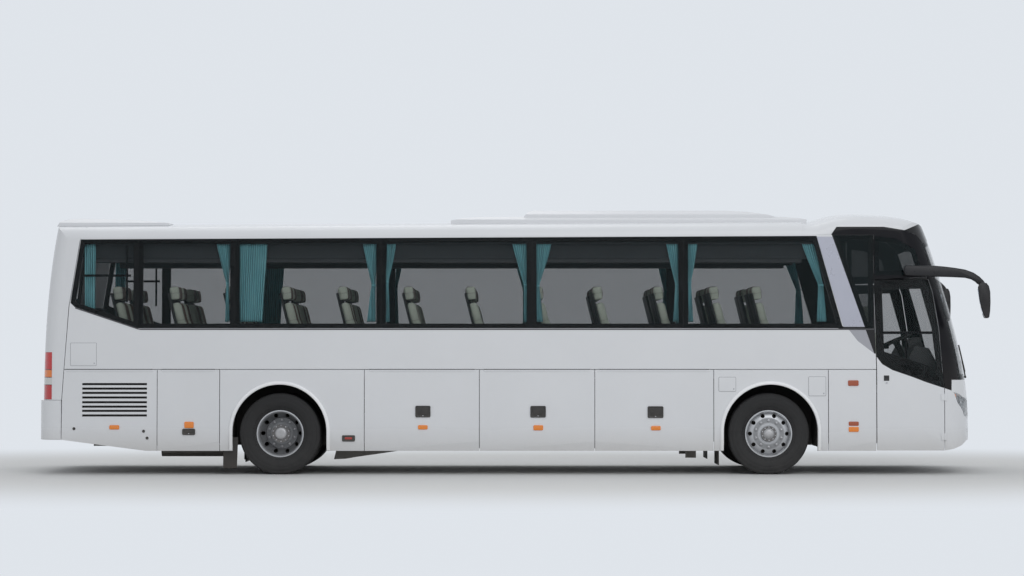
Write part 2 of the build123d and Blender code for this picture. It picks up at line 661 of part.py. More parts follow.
# ------------------------------------------------------------------ roof
roof = (roof_volume(-5500.0, ROOF_FRONT[0], 0.0) - roof_volume(-5500.0, ROOF_FRONT[0], WALL))
roof_outline = [(-5400.0, 3500.0), (-5400.0, 3130.0), (-5443.5, cant(-5443.5)),
                (ROOF_FRONT[0], cant(ROOF_FRONT[0])), (ROOF_FRONT[0], 3500.0)]
nodes["roof"] = roof & prism_xz(roof_outline, -1400.0, 1400.0)

# ------------------------------------------------------------------ rear end
REAR_GLASS_HALF = 1010.0
REAR_GLASS_LOW = 2210.0
REAR_GLASS_TOP = 2960.0
LID_HALF = 880.0           # engine lid
LID_LOW = 990.0
LID_TOP = 2085.0
LAMP_X = -5805.0           # tail lamps start here on the corner
LAMP_INNER = 1010.0
LAMP_LOW = 950.0
LAMP_TOP = 1548.0
BUMPER_LOW = 440.0
BUMPER_TOP = 940.0
BUMPER_WALL = 60.0
BUMPER_CORNER = 230.0


def cross(half, low, top, x0=-6200.0, x1=-5500.0):
    """Box across the rear end."""
    return block(x0, x1, -half, half, low, top)


cap_outline = [(-6200.0, 3500.0), (-5400.0, 3500.0), (-5400.0, 3130.0), (-5443.5, cant(-5443.5)),
               *[(x - GAP / 2, z) for x, z in REAR_JOINT[2:4]],
               (CAP_EDGE[0][1] - GAP / 2, PANEL_TOP), (CAP_EDGE[1][1] - GAP / 2, 944.0),
               (-6200.0, 944.0)]
cap = rear_shell & prism_xz(cap_outline, -1400.0, 1400.0)
rear_window = rear_glass & cross(REAR_GLASS_HALF, REAR_GLASS_LOW, REAR_GLASS_TOP)
cap = cap - cross(REAR_GLASS_HALF - EDGE, REAR_GLASS_LOW + EDGE, REAR_GLASS_TOP - EDGE)
cap = cap - (cross(REAR_GLASS_HALF, REAR_GLASS_LOW, REAR_GLASS_TOP) - rear_core)
tail_lamps = []
for side, way in SIDES:
    zone = side_block(way, -6200.0, LAMP_X, LAMP_INNER, 1400.0, LAMP_LOW, LAMP_TOP)
    tail_lamps.append(rear_shell & zone)
    cap = cap - zone
nodes["tail_lamps"] = keep(*tail_lamps)
cap = cap - cross(LID_HALF + GAP / 2, LID_LOW - GAP / 2, LID_TOP)
LID_AXIS_X = along(TAIL, LID_TOP) - 12.0
LID_ROD_R = 5.0
LID_HINGES = (-520.0, 520.0)
for y in LID_HINGES:
    bar = rod((LID_AXIS_X, y - 60.0, LID_TOP), (LID_AXIS_X, y + 60.0, LID_TOP), LID_ROD_R)
    web = block(LID_AXIS_X, -5930.0, y - 60.0, y + 60.0, LID_TOP, LID_TOP + 26.0)
    cap = cap + bar + web
nodes["rear_cap"] = cap

lid = rear_shell & cross(LID_HALF - GAP / 2, LID_LOW + GAP / 2, LID_TOP - GAP)
LID_LOUVRES = (1180.0, 1240.0, 1300.0, 1360.0, 1420.0, 1480.0)
LID_LOUVRE_HALF = 560.0
for z in LID_LOUVRES:
    lid = lid - cross(LID_LOUVRE_HALF, z - 14.0, z + 14.0)
for y in LID_HINGES:
    top = LID_TOP - LID_ROD_R - FIT
    lid = lid + block(LID_AXIS_X - 7.0, -5940.0, y - 55.0, y + 55.0, top - 40.0, top)
nodes["engine_lid"] = lid

bumper_plan = plan_face(BUMPER_LOW, REAR_END, TAIL_BOW, BUMPER_CORNER, BODY_HALF, -5400.0, -1)
bumper_hollow = plan_face(BUMPER_LOW, REAR_END + BUMPER_WALL, TAIL_BOW - BUMPER_WALL,
                          BUMPER_CORNER - BUMPER_WALL, BODY_HALF - BUMPER_WALL, -5400.0, -1)
bumper_tall = BUMPER_TOP - BUMPER_LOW
bumper_core = extrude(bumper_hollow, bumper_tall, dir=(0, 0, 1))
bumper = extrude(bumper_plan, bumper_tall, dir=(0, 0, 1)) - bumper_core
bumper_cut = block(X_BUMPER - GAP / 2, -5300.0, -1400.0, 1400.0, 300.0, 1100.0)
nodes["rear_bumper"] = bumper - bumper_cut

panes = side_panes(-1.0) + side_panes(1.0) + [rear_window]
nodes["windows"] = keep(*panes, header_pane)

nodes["fin_posts"] = keep(prism_xz(FIN, BODY_HALF, BODY_HALF + FIN_PROUD),
                          prism_xz(FIN, -BODY_HALF, -BODY_HALF - FIN_PROUD))

# ------------------------------------------------------------------ roof equipment
# The air-conditioning unit is a low housing with a taller middle; both sit on the crown.
AIR_HALF = 880.0
AIR_TOP = 3374.0
AIR_UPPER = ((170.0, 3290.0), (226.0, 3352.0), (280.0, AIR_TOP), (2765.0, AIR_TOP),
             (3048.0, 3357.0), (3307.0, 3316.0), (3486.0, 3262.0), (3486.0, 3150.0),
             (170.0, 3150.0))
AIR_LOWER = ((-767.0, 3150.0), (-767.0, 3236.0), (-636.0, 3266.0), (-440.0, 3286.0),
             (200.0, 3290.0), (3480.0, 3290.0), (3721.0, 3268.0), (3798.0, 3252.0),
             (3798.0, 3150.0))
FAN_X = (760.0, 1320.0, 1880.0)
FAN_R = 205.0
FAIRING = ((-5790.0, 3060.0), (-5800.0, 3150.0), (-5760.0, 3215.0), (-5690.0, 3245.0),
           (-5530.0, 3262.0), (-5200.0, 3254.0), (-4780.0, 3240.0), (-4364.0, 3200.0),
           (-4364.0, 3060.0))
FAIRING_HALF = 985.0


def housing(points, half, slope):
    """Roof housing: side outline across the roof, its long edges sloped inwards."""
    solid = prism_xz(points, -half, half)
    low = min(z for x, z in points)
    high = max(z for x, z in points)
    trim = prism_yz([(-half, low), (half, low), (half, high - slope), (half - slope * 2, high),
                     (slope * 2 - half, high), (-half, high - slope)], -6200.0, 4200.0)
    return solid & trim


roof_block = roof_volume(-6000.0, ROOF_FRONT[0], 0.0)
air = housing(AIR_UPPER, AIR_HALF - 60.0, 55.0) + housing(AIR_LOWER, AIR_HALF, 40.0)
air = air - roof_block - front_outer
for x in FAN_X:
    for y in (-380.0, 380.0):
        air = air - post(x, y, AIR_TOP - 35.0, AIR_TOP + 5.0, FAN_R)
        air = air + post(x, y, AIR_TOP - 36.0, AIR_TOP - 8.0, 60.0)
nodes["roof_air_unit"] = air
fairing = housing(FAIRING, FAIRING_HALF, 60.0)
nodes["roof_fairing"] = fairing - roof_block

# ------------------------------------------------------------------ mirrors and wipers
MIRROR_IN = 1300.0
MIRROR_OUT = 1362.0
# side outline of a mirror arm, front end first (x, z)
MIRROR_ARM = ((5845.0, 2560.0), (5962.0, 2478.0), (6006.0, 2412.0), (5990.0, 2380.0),
              (5890.0, 2440.0), (5835.0, 2486.0), (5742.0, 2490.0), (5430.0, 2500.0),
              (5064.0, 2505.0), (4972.0, 2536.0), (4968.0, 2636.0), (5342.0, 2643.0),
              (5587.0, 2628.0), (5740.0, 2603.0))
HEAD_IN = 1235.0
HEAD_OUT = 1475.0
HEAD = ((5870.0, 2010.0), (5920.0, 1968.0), (6010.0, 1975.0), (FRONT_END, 2060.0),
        (FRONT_END, 2330.0), (6012.0, 2412.0), (5930.0, 2425.0), (5862.0, 2370.0))
mirrors = []
for side, way in SIDES:
    arm = prism_xz(MIRROR_ARM, way * MIRROR_IN, way * MIRROR_OUT)
    foot = side_block(way, 4985.0, 5075.0, BODY_HALF, MIRROR_IN, 2520.0, 2630.0)
    head = prism_xz(HEAD, way * HEAD_IN, way * HEAD_OUT)
    mirrors.append(joined([arm, foot, head]) - front_outer)
nodes["mirrors"] = keep(*mirrors)


def nose_x(z, y, out):
    """Front surface at a height and a distance from the middle, plus an offset."""
    bow = NOSE_BOW + out
    return along(NOSE, z) + out - bow + math.sqrt(bow ** 2 - y ** 2)


WIPER_OUT = 30.0
# arm foot and arm tip, then both ends of the blade (y, z), on the right half
WIPER = ((-330.0, 1225.0), (-900.0, 1470.0), (-915.0, 1300.0), (-885.0, 1640.0))
wipers = []
for side, way in SIDES:
    foot, tip, low, high = [(nose_x(z, y, WIPER_OUT), -way * y, z) for y, z in WIPER]
    spindle = rod((foot[0] - 80.0, foot[1], foot[2]), (foot[0] + 10.0, foot[1], foot[2]), 14.0)
    wipers.append(joined([rod(foot, tip, 9.0), rod(low, high, 9.0), spindle]) - front_outer)
nodes["wipers"] = keep(*wipers)

# ------------------------------------------------------------------ chassis
RAIL_IN = 390.0
RAIL_OUT = 470.0
RAIL_LOW = 760.0
RAIL_TOP = 920.0
FRONT_RAIL = (X_BAY[3] - 20.0, 6200.0)
REAR_RAIL = (-6200.0, X_BAY[0] + 20.0)
CROSS = 60.0
FRONT_CROSS = (2640.0, 3960.0, 4560.0, 5100.0, 5560.0)
REAR_CROSS = (-5560.0, -3650.0, -2250.0)
BAR_TO_DECK = DECK_TOP - DECK

rails = []
for side, way in SIDES:
    rails.append(side_block(way, *FRONT_RAIL, RAIL_IN, RAIL_OUT, RAIL_LOW, RAIL_TOP))
front_frame = joined(rails)
for x in FRONT_CROSS:
    front_frame = front_frame + block(x, x + CROSS, -RAIL_OUT, RAIL_OUT, RAIL_LOW, RAIL_TOP)
front_frame = front_frame & (front_inner + block(2000.0, 5000.0, -900.0, 900.0, 0.0, 2000.0))
rails = []
for side, way in SIDES:
    rails.append(side_block(way, *REAR_RAIL, RAIL_IN, RAIL_OUT, RAIL_LOW, RAIL_TOP))
rear_frame = joined(rails)
for x in REAR_CROSS:
    rear_frame = rear_frame + block(x, x + CROSS, -RAIL_OUT, RAIL_OUT, RAIL_LOW, RAIL_TOP)
rear_frame = rear_frame & (bumper_core + block(-5500.0, 0.0, -900.0, 900.0, 0.0, 2000.0))
TOWER = 60.0
for x in (2650.0, 3980.0):
    for side, way in SIDES:
        front_frame = front_frame + side_block(way, x, x + TOWER, RAIL_IN, RAIL_OUT, RAIL_TOP,
                                               BAR_TO_DECK)
for x in (-5540.0, -3640.0, -2240.0):
    for side, way in SIDES:
        rear_frame = rear_frame + side_block(way, x, x + TOWER, RAIL_IN, RAIL_OUT, RAIL_TOP,
                                             BAR_TO_DECK)
# towing eyes under the end crossmembers: a flat tongue with an upright pin hole, on a web
TOW_R = 20.0
TOW_HALF = 45.0
TOW_Z = (400.0, 430.0)
TOW_PIN = 95.0             # from the root of the tongue to the pin hole
TONGUE = 140.0
WEB_HALF = 12.0
WEB = 50.0
for x, out in ((FRONT_CROSS[-1], 1.0), (REAR_CROSS[0] + CROSS, -1.0)):
    tongue_x = sorted((x, x + out * TONGUE))
    web_x = sorted((x, x + out * WEB))
    eye = block(*tongue_x, -TOW_HALF, TOW_HALF, *TOW_Z)
    eye = eye - post(x + out * TOW_PIN, 0.0, TOW_Z[0] - 5.0, TOW_Z[1] + 5.0, TOW_R)
    eye = eye + block(*web_x, -WEB_HALF, WEB_HALF, TOW_Z[0], RAIL_LOW + CROSS)
    if out > 0:
        front_frame = front_frame + eye
    else:
        rear_frame = rear_frame + eye
nodes["chassis"] = keep(front_frame, rear_frame)

# air-sprung axles: a dropped front beam and a rear housing with its hub tubes
EYE_R = 48.0
EYE_HALF = 55.0
BEAM_HALF_WIDE = 55.0
BEAM_DROP = 60.0
BELLOWS_R = 105.0
SEAT_TALL = 20.0
HUB_TUBE_R = 60.0
HOUSING_R = 78.0
beam = prism_yz([(-KINGPIN_Y, AXLE_Z - 45), (-700.0, AXLE_Z - 45), (-600.0, AXLE_Z - 105.0),
                 (600.0, AXLE_Z - 105.0), (700.0, AXLE_Z - 45), (KINGPIN_Y, AXLE_Z - 45),
                 (KINGPIN_Y, AXLE_Z + 45), (660.0, AXLE_Z + 45), (560.0, AXLE_Z - 5.0),
                 (-560.0, AXLE_Z - 5.0), (-660.0, AXLE_Z + 45), (-KINGPIN_Y, AXLE_Z + 45)],
                FRONT_AXLE - BEAM_HALF_WIDE, FRONT_AXLE + BEAM_HALF_WIDE)
for side, way in SIDES:
    y = way * KINGPIN_Y
    clear = block(FRONT_AXLE - 90.0, FRONT_AXLE + 90.0, min(y, y + way * 60.0),
                  max(y, y + way * 60.0), AXLE_Z - 80.0, AXLE_Z + 80.0)
    beam = beam - clear
    beam = beam + post(FRONT_AXLE, y, AXLE_Z - EYE_HALF, AXLE_Z + EYE_HALF, EYE_R)
    beam = beam + post(FRONT_AXLE, y, AXLE_Z - EYE_HALF - 50.0, AXLE_Z + EYE_HALF + 50.0,
                       KINGPIN_R)
    middle = way * (RAIL_IN + RAIL_OUT) / 2
    beam = beam + post(FRONT_AXLE, middle, AXLE_Z - 20.0, RAIL_LOW, BELLOWS_R)
housing_axle = ring_y(REAR_AXLE, AXLE_Z, -560.0, 560.0, HOUSING_R)
housing_axle = housing_axle + ring_y(REAR_AXLE, AXLE_Z, -130.0, 130.0, 200.0)
housing_axle = housing_axle + ring_y(REAR_AXLE, AXLE_Z, -1030.0, 1030.0, HUB_TUBE_R)
for side, way in SIDES:
    middle = way * (RAIL_IN + RAIL_OUT) / 2
    housing_axle = housing_axle + post(REAR_AXLE, middle, AXLE_Z + 40.0, RAIL_LOW, BELLOWS_R)
nodes["axles"] = keep(beam, housing_axle)

ENGINE_X = (-5420.0, -3960.0)
ENGINE_LOW = 330.0
ENGINE_TOP = 1090.0
nodes["engine"] = block(*ENGINE_X, -RAIL_IN, RAIL_IN, ENGINE_LOW, ENGINE_TOP)

TANK_X = (4060.0, 4540.0)
TANK_LOW = 430.0
RESERVOIR_R = 115.0
SILENCER_R = 74.0
silencer = rod((-4560.0, -180.0, ENGINE_LOW - SILENCER_R + 4.0),
               (-3700.0, -180.0, ENGINE_LOW - SILENCER_R + 4.0), SILENCER_R)
silencer = silencer - block(*ENGINE_X, -RAIL_IN, RAIL_IN, ENGINE_LOW, ENGINE_TOP)
fuel_tank = block(*TANK_X, -440.0, 440.0, TANK_LOW, RAIL_LOW)
fuel_tank = fillet(fuel_tank.edges().filter_by(Axis.Y), 60.0)
reservoirs = []
for y in (-140.0, 140.0):
    bar = rod((2700.0, y, RAIL_LOW + 60.0), (3180.0, y, RAIL_LOW + 60.0), RESERVOIR_R)
    reservoirs.append(bar - front_frame)
# tapering air-tank tray ahead of the rear wheels, and the hangers ahead of the front ones
TRAY = ((-2282.0, 165.0), (-2130.0, 172.0), (-1990.0, 196.0), (-1640.0, 246.0),
        (-1310.0, 296.0), (-1310.0, BAY_LOW), (-2240.0, BAY_LOW))
TRAY_HALF = 600.0
tray = prism_xz(TRAY, -TRAY_HALF, TRAY_HALF)
HANGER_X = (2258.0, 2392.0)
hangers = [side_block(way, *HANGER_X, 560.0, 620.0, 186.0, BAY_LOW) for side, way in SIDES]
nodes["tanks_and_exhaust"] = keep(fuel_tank, silencer, tray, *hangers, *reservoirs)

# ------------------------------------------------------------------ floors
SILL_FACE = BODY_HALF - WALL - SILL
DECK_X = (-5560.0, 4560.0)
DOOR_LEFT = (4640.0, 5480.0)     # entrance well, from x to x
WELL_INNER = 540.0
STEPS = ((980.0, STEP_LOW), (760.0, 570.0), (WELL_INNER, 790.0))    # (y, tread height)
WELL_LOW = 330.0
steps = block(4560.0, 5520.0, -1190.0, WELL_INNER, PLATFORM_TOP - DECK, PLATFORM_TOP)
outer_y = 1195.0
for inner_y, tread in STEPS:
    steps = steps + block(*DOOR_LEFT, inner_y, outer_y, WELL_LOW, tread)
    outer_y = inner_y
steps = steps + block(DOOR_LEFT[0], DOOR_LEFT[1], 500.0, WELL_INNER, WELL_LOW, PLATFORM_TOP)
steps = steps + block(4600.0, DOOR_LEFT[0], 500.0, 1195.0, TUCK_TOP + 10.0, PLATFORM_TOP)
steps = steps + block(4590.0, 4622.0, -1210.0, 1210.0, TUCK_TOP + 10.0, PLATFORM_TOP - DECK)
steps = steps + block(DOOR_LEFT[1], DOOR_LEFT[1] + 24.0, 500.0, 1130.0, WELL_LOW, PLATFORM_TOP)
for x in FRONT_CROSS:
    steps = steps - block(x, x + CROSS, -RAIL_OUT, RAIL_OUT, RAIL_LOW, RAIL_TOP)
for side, way in SIDES:
    steps = steps - side_block(way, *FRONT_RAIL, RAIL_IN, RAIL_OUT, RAIL_LOW, RAIL_TOP)
nodes["steps"] = steps

floor = block(*DECK_X, -SILL_FACE, SILL_FACE, DECK_TOP - DECK, DECK_TOP)
floor = floor + block(4520.0, 4560.0, -SILL_FACE, SILL_FACE, PLATFORM_TOP - DECK, DECK_TOP)
PARCEL_Z = 2140.0
floor = floor + block(-5560.0, -5530.0, -1195.0, 1195.0, DECK_TOP - DECK, PARCEL_Z)
nodes["floor"] = floor

BULKHEAD = 24.0
bay = block(X_BAY[0] + 6.0, X_BAY[3] - 6.0, -1180.0, 1180.0, BAY_LOW, BAY_LOW + BAY_FLOOR)
for x in (X_BAY[0] + 6.0, X_BAY[1] - BULKHEAD / 2, X_BAY[2] - BULKHEAD / 2,
          X_BAY[3] - 6.0 - BULKHEAD):
    bay = bay + block(x, x + BULKHEAD, -1180.0, 1180.0, BAY_LOW, BAR_TO_DECK)
rail_zone = joined([side_block(way, *FRONT_RAIL, RAIL_IN, RAIL_OUT, RAIL_LOW, RAIL_TOP)
                    + side_block(way, *REAR_RAIL, RAIL_IN, RAIL_OUT, RAIL_LOW, RAIL_TOP)
                    for side, way in SIDES])
nodes["luggage_bay"] = bay - rail_zone

HOUSE = 620.0              # half length of a wheel house
HOUSE_WALL = 20.0
HOUSE_IN = 555.0
HOUSE_TOP = 1145.0
HOUSE_LOW = TUCK_TOP + 10.0
INNER_LOW = 790.0
FLAP_THICK = 10.0
wheel_houses = []
for side, way in SIDES:
    for x in (REAR_AXLE, FRONT_AXLE):
        outer = BODY_HALF - PANEL
        pieces = []
        for end in (x - HOUSE - HOUSE_WALL, x + HOUSE):
            pieces.append(side_block(way, end, end + HOUSE_WALL, HOUSE_IN, outer, HOUSE_LOW,
                                     BAR_TO_DECK))
        pieces.append(side_block(way, x - HOUSE, x + HOUSE, HOUSE_IN, outer, HOUSE_TOP,
                                 HOUSE_TOP + HOUSE_WALL))
        pieces.append(side_block(way, x - HOUSE, x + HOUSE, HOUSE_IN, HOUSE_IN + HOUSE_WALL,
                                 INNER_LOW, BAR_TO_DECK))
        flap_low = 75.0 if x == REAR_AXLE else 118.0
        end = x - HOUSE - HOUSE_WALL
        pieces.append(side_block(way, end, end + FLAP_THICK, 600.0, 1185.0, flap_low,
                                 HOUSE_LOW))
        wheel_houses.append(joined(pieces))
nodes["wheel_houses"] = keep(*wheel_houses)

# ------------------------------------------------------------------ cabin
# Backrest middles of the seat rows, from the rear; two seats on each side of the aisle.
SEAT_ROWS = (-4929.0, -4206.0, -3498.0, -2782.0, -2060.0, -1222.0, -429.0, 427.0, 1182.0,
             1955.0, 2664.0, 3209.0)
SEAT_IN = 255.0
SEAT_OUT = 1150.0
CUSHION_TOP = 1700.0
CUSHION = 110.0
BACK_TOP = 2400.0
BACK_LEAN = 190.0
BACK = 110.0
SEAT_DEEP = 460.0
PEDESTAL_HALF = 40.0


def seat_pair(way, x, floor_z, inner, outer):
    """Two joined seats: leaning back, cushion and one pedestal, facing forward."""
    foot_x = x + 90.0
    seat_z = floor_z + CUSHION_TOP - DECK_TOP
    back_z = floor_z + BACK_TOP - DECK_TOP
    back = prism_xz([(foot_x, seat_z - CUSHION), (foot_x - BACK, seat_z - CUSHION),
                     (foot_x - BACK - BACK_LEAN, back_z - 40.0),
                     (foot_x - BACK_LEAN - 70.0, back_z), (foot_x - BACK_LEAN, back_z - 30.0)],
                    way * inner, way * outer)
    cushion = side_block(way, foot_x - 20.0, foot_x + SEAT_DEEP, inner, outer,
                         seat_z - CUSHION, seat_z)
    middle = (inner + outer) / 2
    leg = side_block(way, foot_x + 40.0, foot_x + 320.0, middle - PEDESTAL_HALF,
                     middle + PEDESTAL_HALF, floor_z, seat_z - CUSHION)
    return joined([back, cushion, leg])


for side, way in SIDES:
    rows = [seat_pair(way, x, DECK_TOP, SEAT_IN, SEAT_OUT) for x in SEAT_ROWS]
    nodes[f"seats_{side}"] = keep(*rows)

RACK_Z = (2690.0, 2760.0)
RACK_Y = (860.0, 1150.0)
RACK_X = (-5300.0, 3850.0)
HANGER = 30.0
racks = []
for side, way in SIDES:
    rack = side_block(way, *RACK_X, *RACK_Y, RACK_Z[0], RACK_Z[0] + 40.0)
    rack = rack + side_block(way, *RACK_X, RACK_Y[0], RACK_Y[0] + 40.0, *RACK_Z)
    for x in PANE_JOINTS:
        rack = rack + side_block(way, x - HANGER / 2, x + HANGER / 2, RACK_Y[0] + 120.0,
                                 RACK_Y[1], RACK_Z[0], 3400.0)
    racks.append(rack & roof_volume(-5500.0, ROOF_FRONT[0], WALL))
CURTAIN_TOP = 2925.0
CURTAIN_LOW = 1930.0
CURTAIN_IN = 1168.0
CURTAIN_THICK = 20.0
for side, way in SIDES:
    bar = side_block(way, -5400.0, 3860.0, CURTAIN_IN - 4.0, BODY_HALF - WALL,
                     CURTAIN_TOP, CURTAIN_TOP + 12.0)
    racks.append(bar)
nodes["luggage_racks"] = keep(*racks)

# hanging widths of the curtains (x0, x1) at the rail
CURTAINS = ((-5412.0, -5267.0), (-3734.0, -3555.0), (-3450.0, -3091.0), (-1873.0, -1695.0),
            (-1568.0, -1453.0), (29.0, 193.0), (322.0, 519.0), (1975.0, 2122.0),
            (2246.0, 2372.0), (3708.0, 3860.0))
curtains = []
for side, way in SIDES:
    for x0, x1 in CURTAINS:
        curtains.append(side_block(way, x0, x1, CURTAIN_IN, CURTAIN_IN + CURTAIN_THICK,
                                   CURTAIN_LOW, CURTAIN_TOP))
nodes["curtains"] = keep(*curtains)

DRIVER_Y = 620.0
WHEEL_CENTRE = (4975.0, -DRIVER_Y, 1700.0)
WHEEL_R = 225.0
COLUMN_FOOT = (5230.0, -DRIVER_Y, 1100.0)
DASH = ((5120.0, PLATFORM_TOP), (5120.0, 1330.0), (5060.0, 1480.0), (5150.0, 1640.0),
        (5330.0, 1600.0), (5430.0, 1420.0), (5430.0, PLATFORM_TOP))
dash = prism_xz(DASH, -1060.0, WELL_INNER - 60.0)
axis = Vector(*COLUMN_FOOT) - Vector(*WHEEL_CENTRE)
wheel_plane = Plane(origin=WHEEL_CENTRE, z_dir=axis)
steering = wheel_plane * Torus(WHEEL_R, 15.0)
spoke = wheel_plane * Box(2 * WHEEL_R, 40.0, 20.0)
column = rod(WHEEL_CENTRE, COLUMN_FOOT, 35.0)
steering = joined([steering, spoke, column]) - dash
driver_seat = seat_pair(-1.0, 4500.0, PLATFORM_TOP, DRIVER_Y - 240.0, DRIVER_Y + 240.0)
driver_seat = Pos(150.0, 0.0, 0.0) * driver_seat
nodes["driver_station"] = keep(dash, steering, driver_seat)

# ------------------------------------------------------------------ wheels
HUB_R = 118.0
NUT_CIRCLE = 167.5
HAND_HOLES = 10
HAND_R = 26.0


def revolve_y(points, x, y, z, way):
    """Solid of revolution about a line along Y; points are (radius, outward offset)."""
    outline = Polyline(*[(x + r, y + way * v, z) for r, v in points], close=True)
    return revolve(make_face(outline), Axis((x, y, z), (0, 1, 0)), 360.0)


# half sections (radius, offset from the middle of the tyre, outwards)
TREAD_HALF = 128.0
TYRE_SECTION = ((RIM_R, -112.0), (330.0, -128.0), (400.0, -TYRE_HALF), (450.0, -TYRE_HALF + 4.0),
                (495.0, -136.0), (TYRE_R - 4.0, -TREAD_HALF), (TYRE_R, -110.0),
                (TYRE_R, 110.0), (TYRE_R - 4.0, TREAD_HALF), (495.0, 136.0),
                (450.0, TYRE_HALF - 4.0), (400.0, TYRE_HALF), (330.0, 128.0), (RIM_R, 112.0))
BARREL = ((RIM_R, -118.0), (RIM_R, 118.0), (284.0, 118.0), (268.0, 90.0), (262.0, 0.0),
          (268.0, -90.0), (284.0, -118.0))
# front disc, bulging outwards, and rear disc, deep dished towards its twin
FRONT_DISC = ((266.0, 40.0), (270.0, 66.0), (236.0, 92.0), (200.0, 106.0), (100.0, 106.0),
              (100.0, 92.0), (198.0, 92.0), (230.0, 78.0))
REAR_DISC = ((268.0, -20.0), (266.0, -46.0), (236.0, -120.0), (206.0, -167.5), (100.0, -167.5),
             (100.0, -152.0), (196.0, -152.0), (222.0, -112.0))
FRONT_HUB = ((0.0, 150.0), (0.0, 172.0), (45.0, 168.0), (72.0, 150.0), (96.0, 150.0),
             (104.0, 106.0), (HUB_R, 92.0), (HUB_R, -40.0), (SPINDLE_R + FIT, -40.0),
             (SPINDLE_R + FIT, 150.0))
REAR_HUB = ((0.0, -10.0), (0.0, 30.0), (60.0, 26.0), (84.0, 6.0), (118.0, 6.0),
            (118.0, -20.0), (108.0, -20.0), (108.0, -150.0), (HUB_R + 12.0, -150.0),
            (HUB_R + 12.0, -300.0), (HUB_TUBE_R + FIT, -300.0), (HUB_TUBE_R + FIT, -10.0))


def disc_holes(x, y, z, way, radius, v0, v1):
    """Ring of hand holes through a wheel disc."""
    holes = []
    for i in range(HAND_HOLES):
        angle = 2 * math.pi * i / HAND_HOLES
        hx = x + radius * math.cos(angle)
        hz = z + radius * math.sin(angle)
        holes.append(ring_y(hx, hz, y + way * v0, y + way * v1, HAND_R))
    return holes


def wheel_disc(section, x, y, way, radius, v0, v1):
    """Disc with its hand holes."""
    disc = revolve_y(section, x, y, AXLE_Z, way)
    for hole in disc_holes(x, y, AXLE_Z, way, radius, v0, v1):
        disc = disc - hole
    return disc


for side, way in SIDES:
    y = way * FRONT_TYRE_Y
    nodes[f"front_tyre_{side}"] = revolve_y(TYRE_SECTION, FRONT_AXLE, y, AXLE_Z, way)
    rim = revolve_y(BARREL, FRONT_AXLE, y, AXLE_Z, way)
    disc = wheel_disc(FRONT_DISC, FRONT_AXLE, y, way, 234.0, 20.0, 140.0)
    hub = revolve_y(FRONT_HUB, FRONT_AXLE, y, AXLE_Z, way)
    nodes[f"front_rim_{side}"] = joined([rim, disc, hub])

    outer_y = way * REAR_OUTER_Y
    inner_y = way * REAR_INNER_Y
    nodes[f"rear_tyres_{side}"] = keep(
        revolve_y(TYRE_SECTION, REAR_AXLE, outer_y, AXLE_Z, way),
        revolve_y(TYRE_SECTION, REAR_AXLE, inner_y, AXLE_Z, way))
    hub = revolve_y(REAR_HUB, REAR_AXLE, outer_y, AXLE_Z, way)
    outer_rim = revolve_y(BARREL, REAR_AXLE, outer_y, AXLE_Z, way)
    outer_disc = wheel_disc(REAR_DISC, REAR_AXLE, outer_y, way, 236.0, -200.0, -20.0)
    inner_rim = revolve_y(BARREL, REAR_AXLE, inner_y, AXLE_Z, way)
    inner_disc = wheel_disc(REAR_DISC, REAR_AXLE, inner_y, -way, 236.0, -200.0, -20.0)
    nodes[f"rear_rims_{side}"] = joined([hub, outer_rim, outer_disc, inner_rim, inner_disc])

# steering knuckles: a fork about the kingpin, and the spindle
FORK_TALL = 40.0
FORK_CLEAR = 1.0
FORK_R = 45.0
SPINDLE_END = 130.0
for side, way in SIDES:
    y = way * KINGPIN_Y
    low = AXLE_Z - EYE_HALF - FORK_CLEAR - FORK_TALL
    high = AXLE_Z + EYE_HALF + FORK_CLEAR
    lugs = post(FRONT_AXLE, y, low, low + FORK_TALL, FORK_R)
    lugs = lugs + post(FRONT_AXLE, y, high, high + FORK_TALL, FORK_R)
    for z in (low, high):
        lugs = lugs + side_block(way, FRONT_AXLE - FORK_R, FRONT_AXLE + FORK_R, KINGPIN_Y,
                                 KINGPIN_Y + 82.0, z, z + FORK_TALL)
    web = side_block(way, FRONT_AXLE - FORK_R, FRONT_AXLE + FORK_R, KINGPIN_Y + 56.0,
                     KINGPIN_Y + 82.0, low, high + FORK_TALL)
    spindle = ring_y(FRONT_AXLE, AXLE_Z, y + way * 60.0, way * (FRONT_TYRE_Y + SPINDLE_END),
                     SPINDLE_R)
    knuckle = joined([lugs, web, spindle])
    bore = post(FRONT_AXLE, y, AXLE_Z - 200.0, AXLE_Z + 200.0, KINGPIN_R + FIT)
    nodes[f"knuckle_{side}"] = knuckle - bore

for name, shape in nodes.items():
    export_step(shape, f"parts/{name}.step")
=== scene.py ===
import bpy
import json
import math
from mathutils import Matrix, Vector

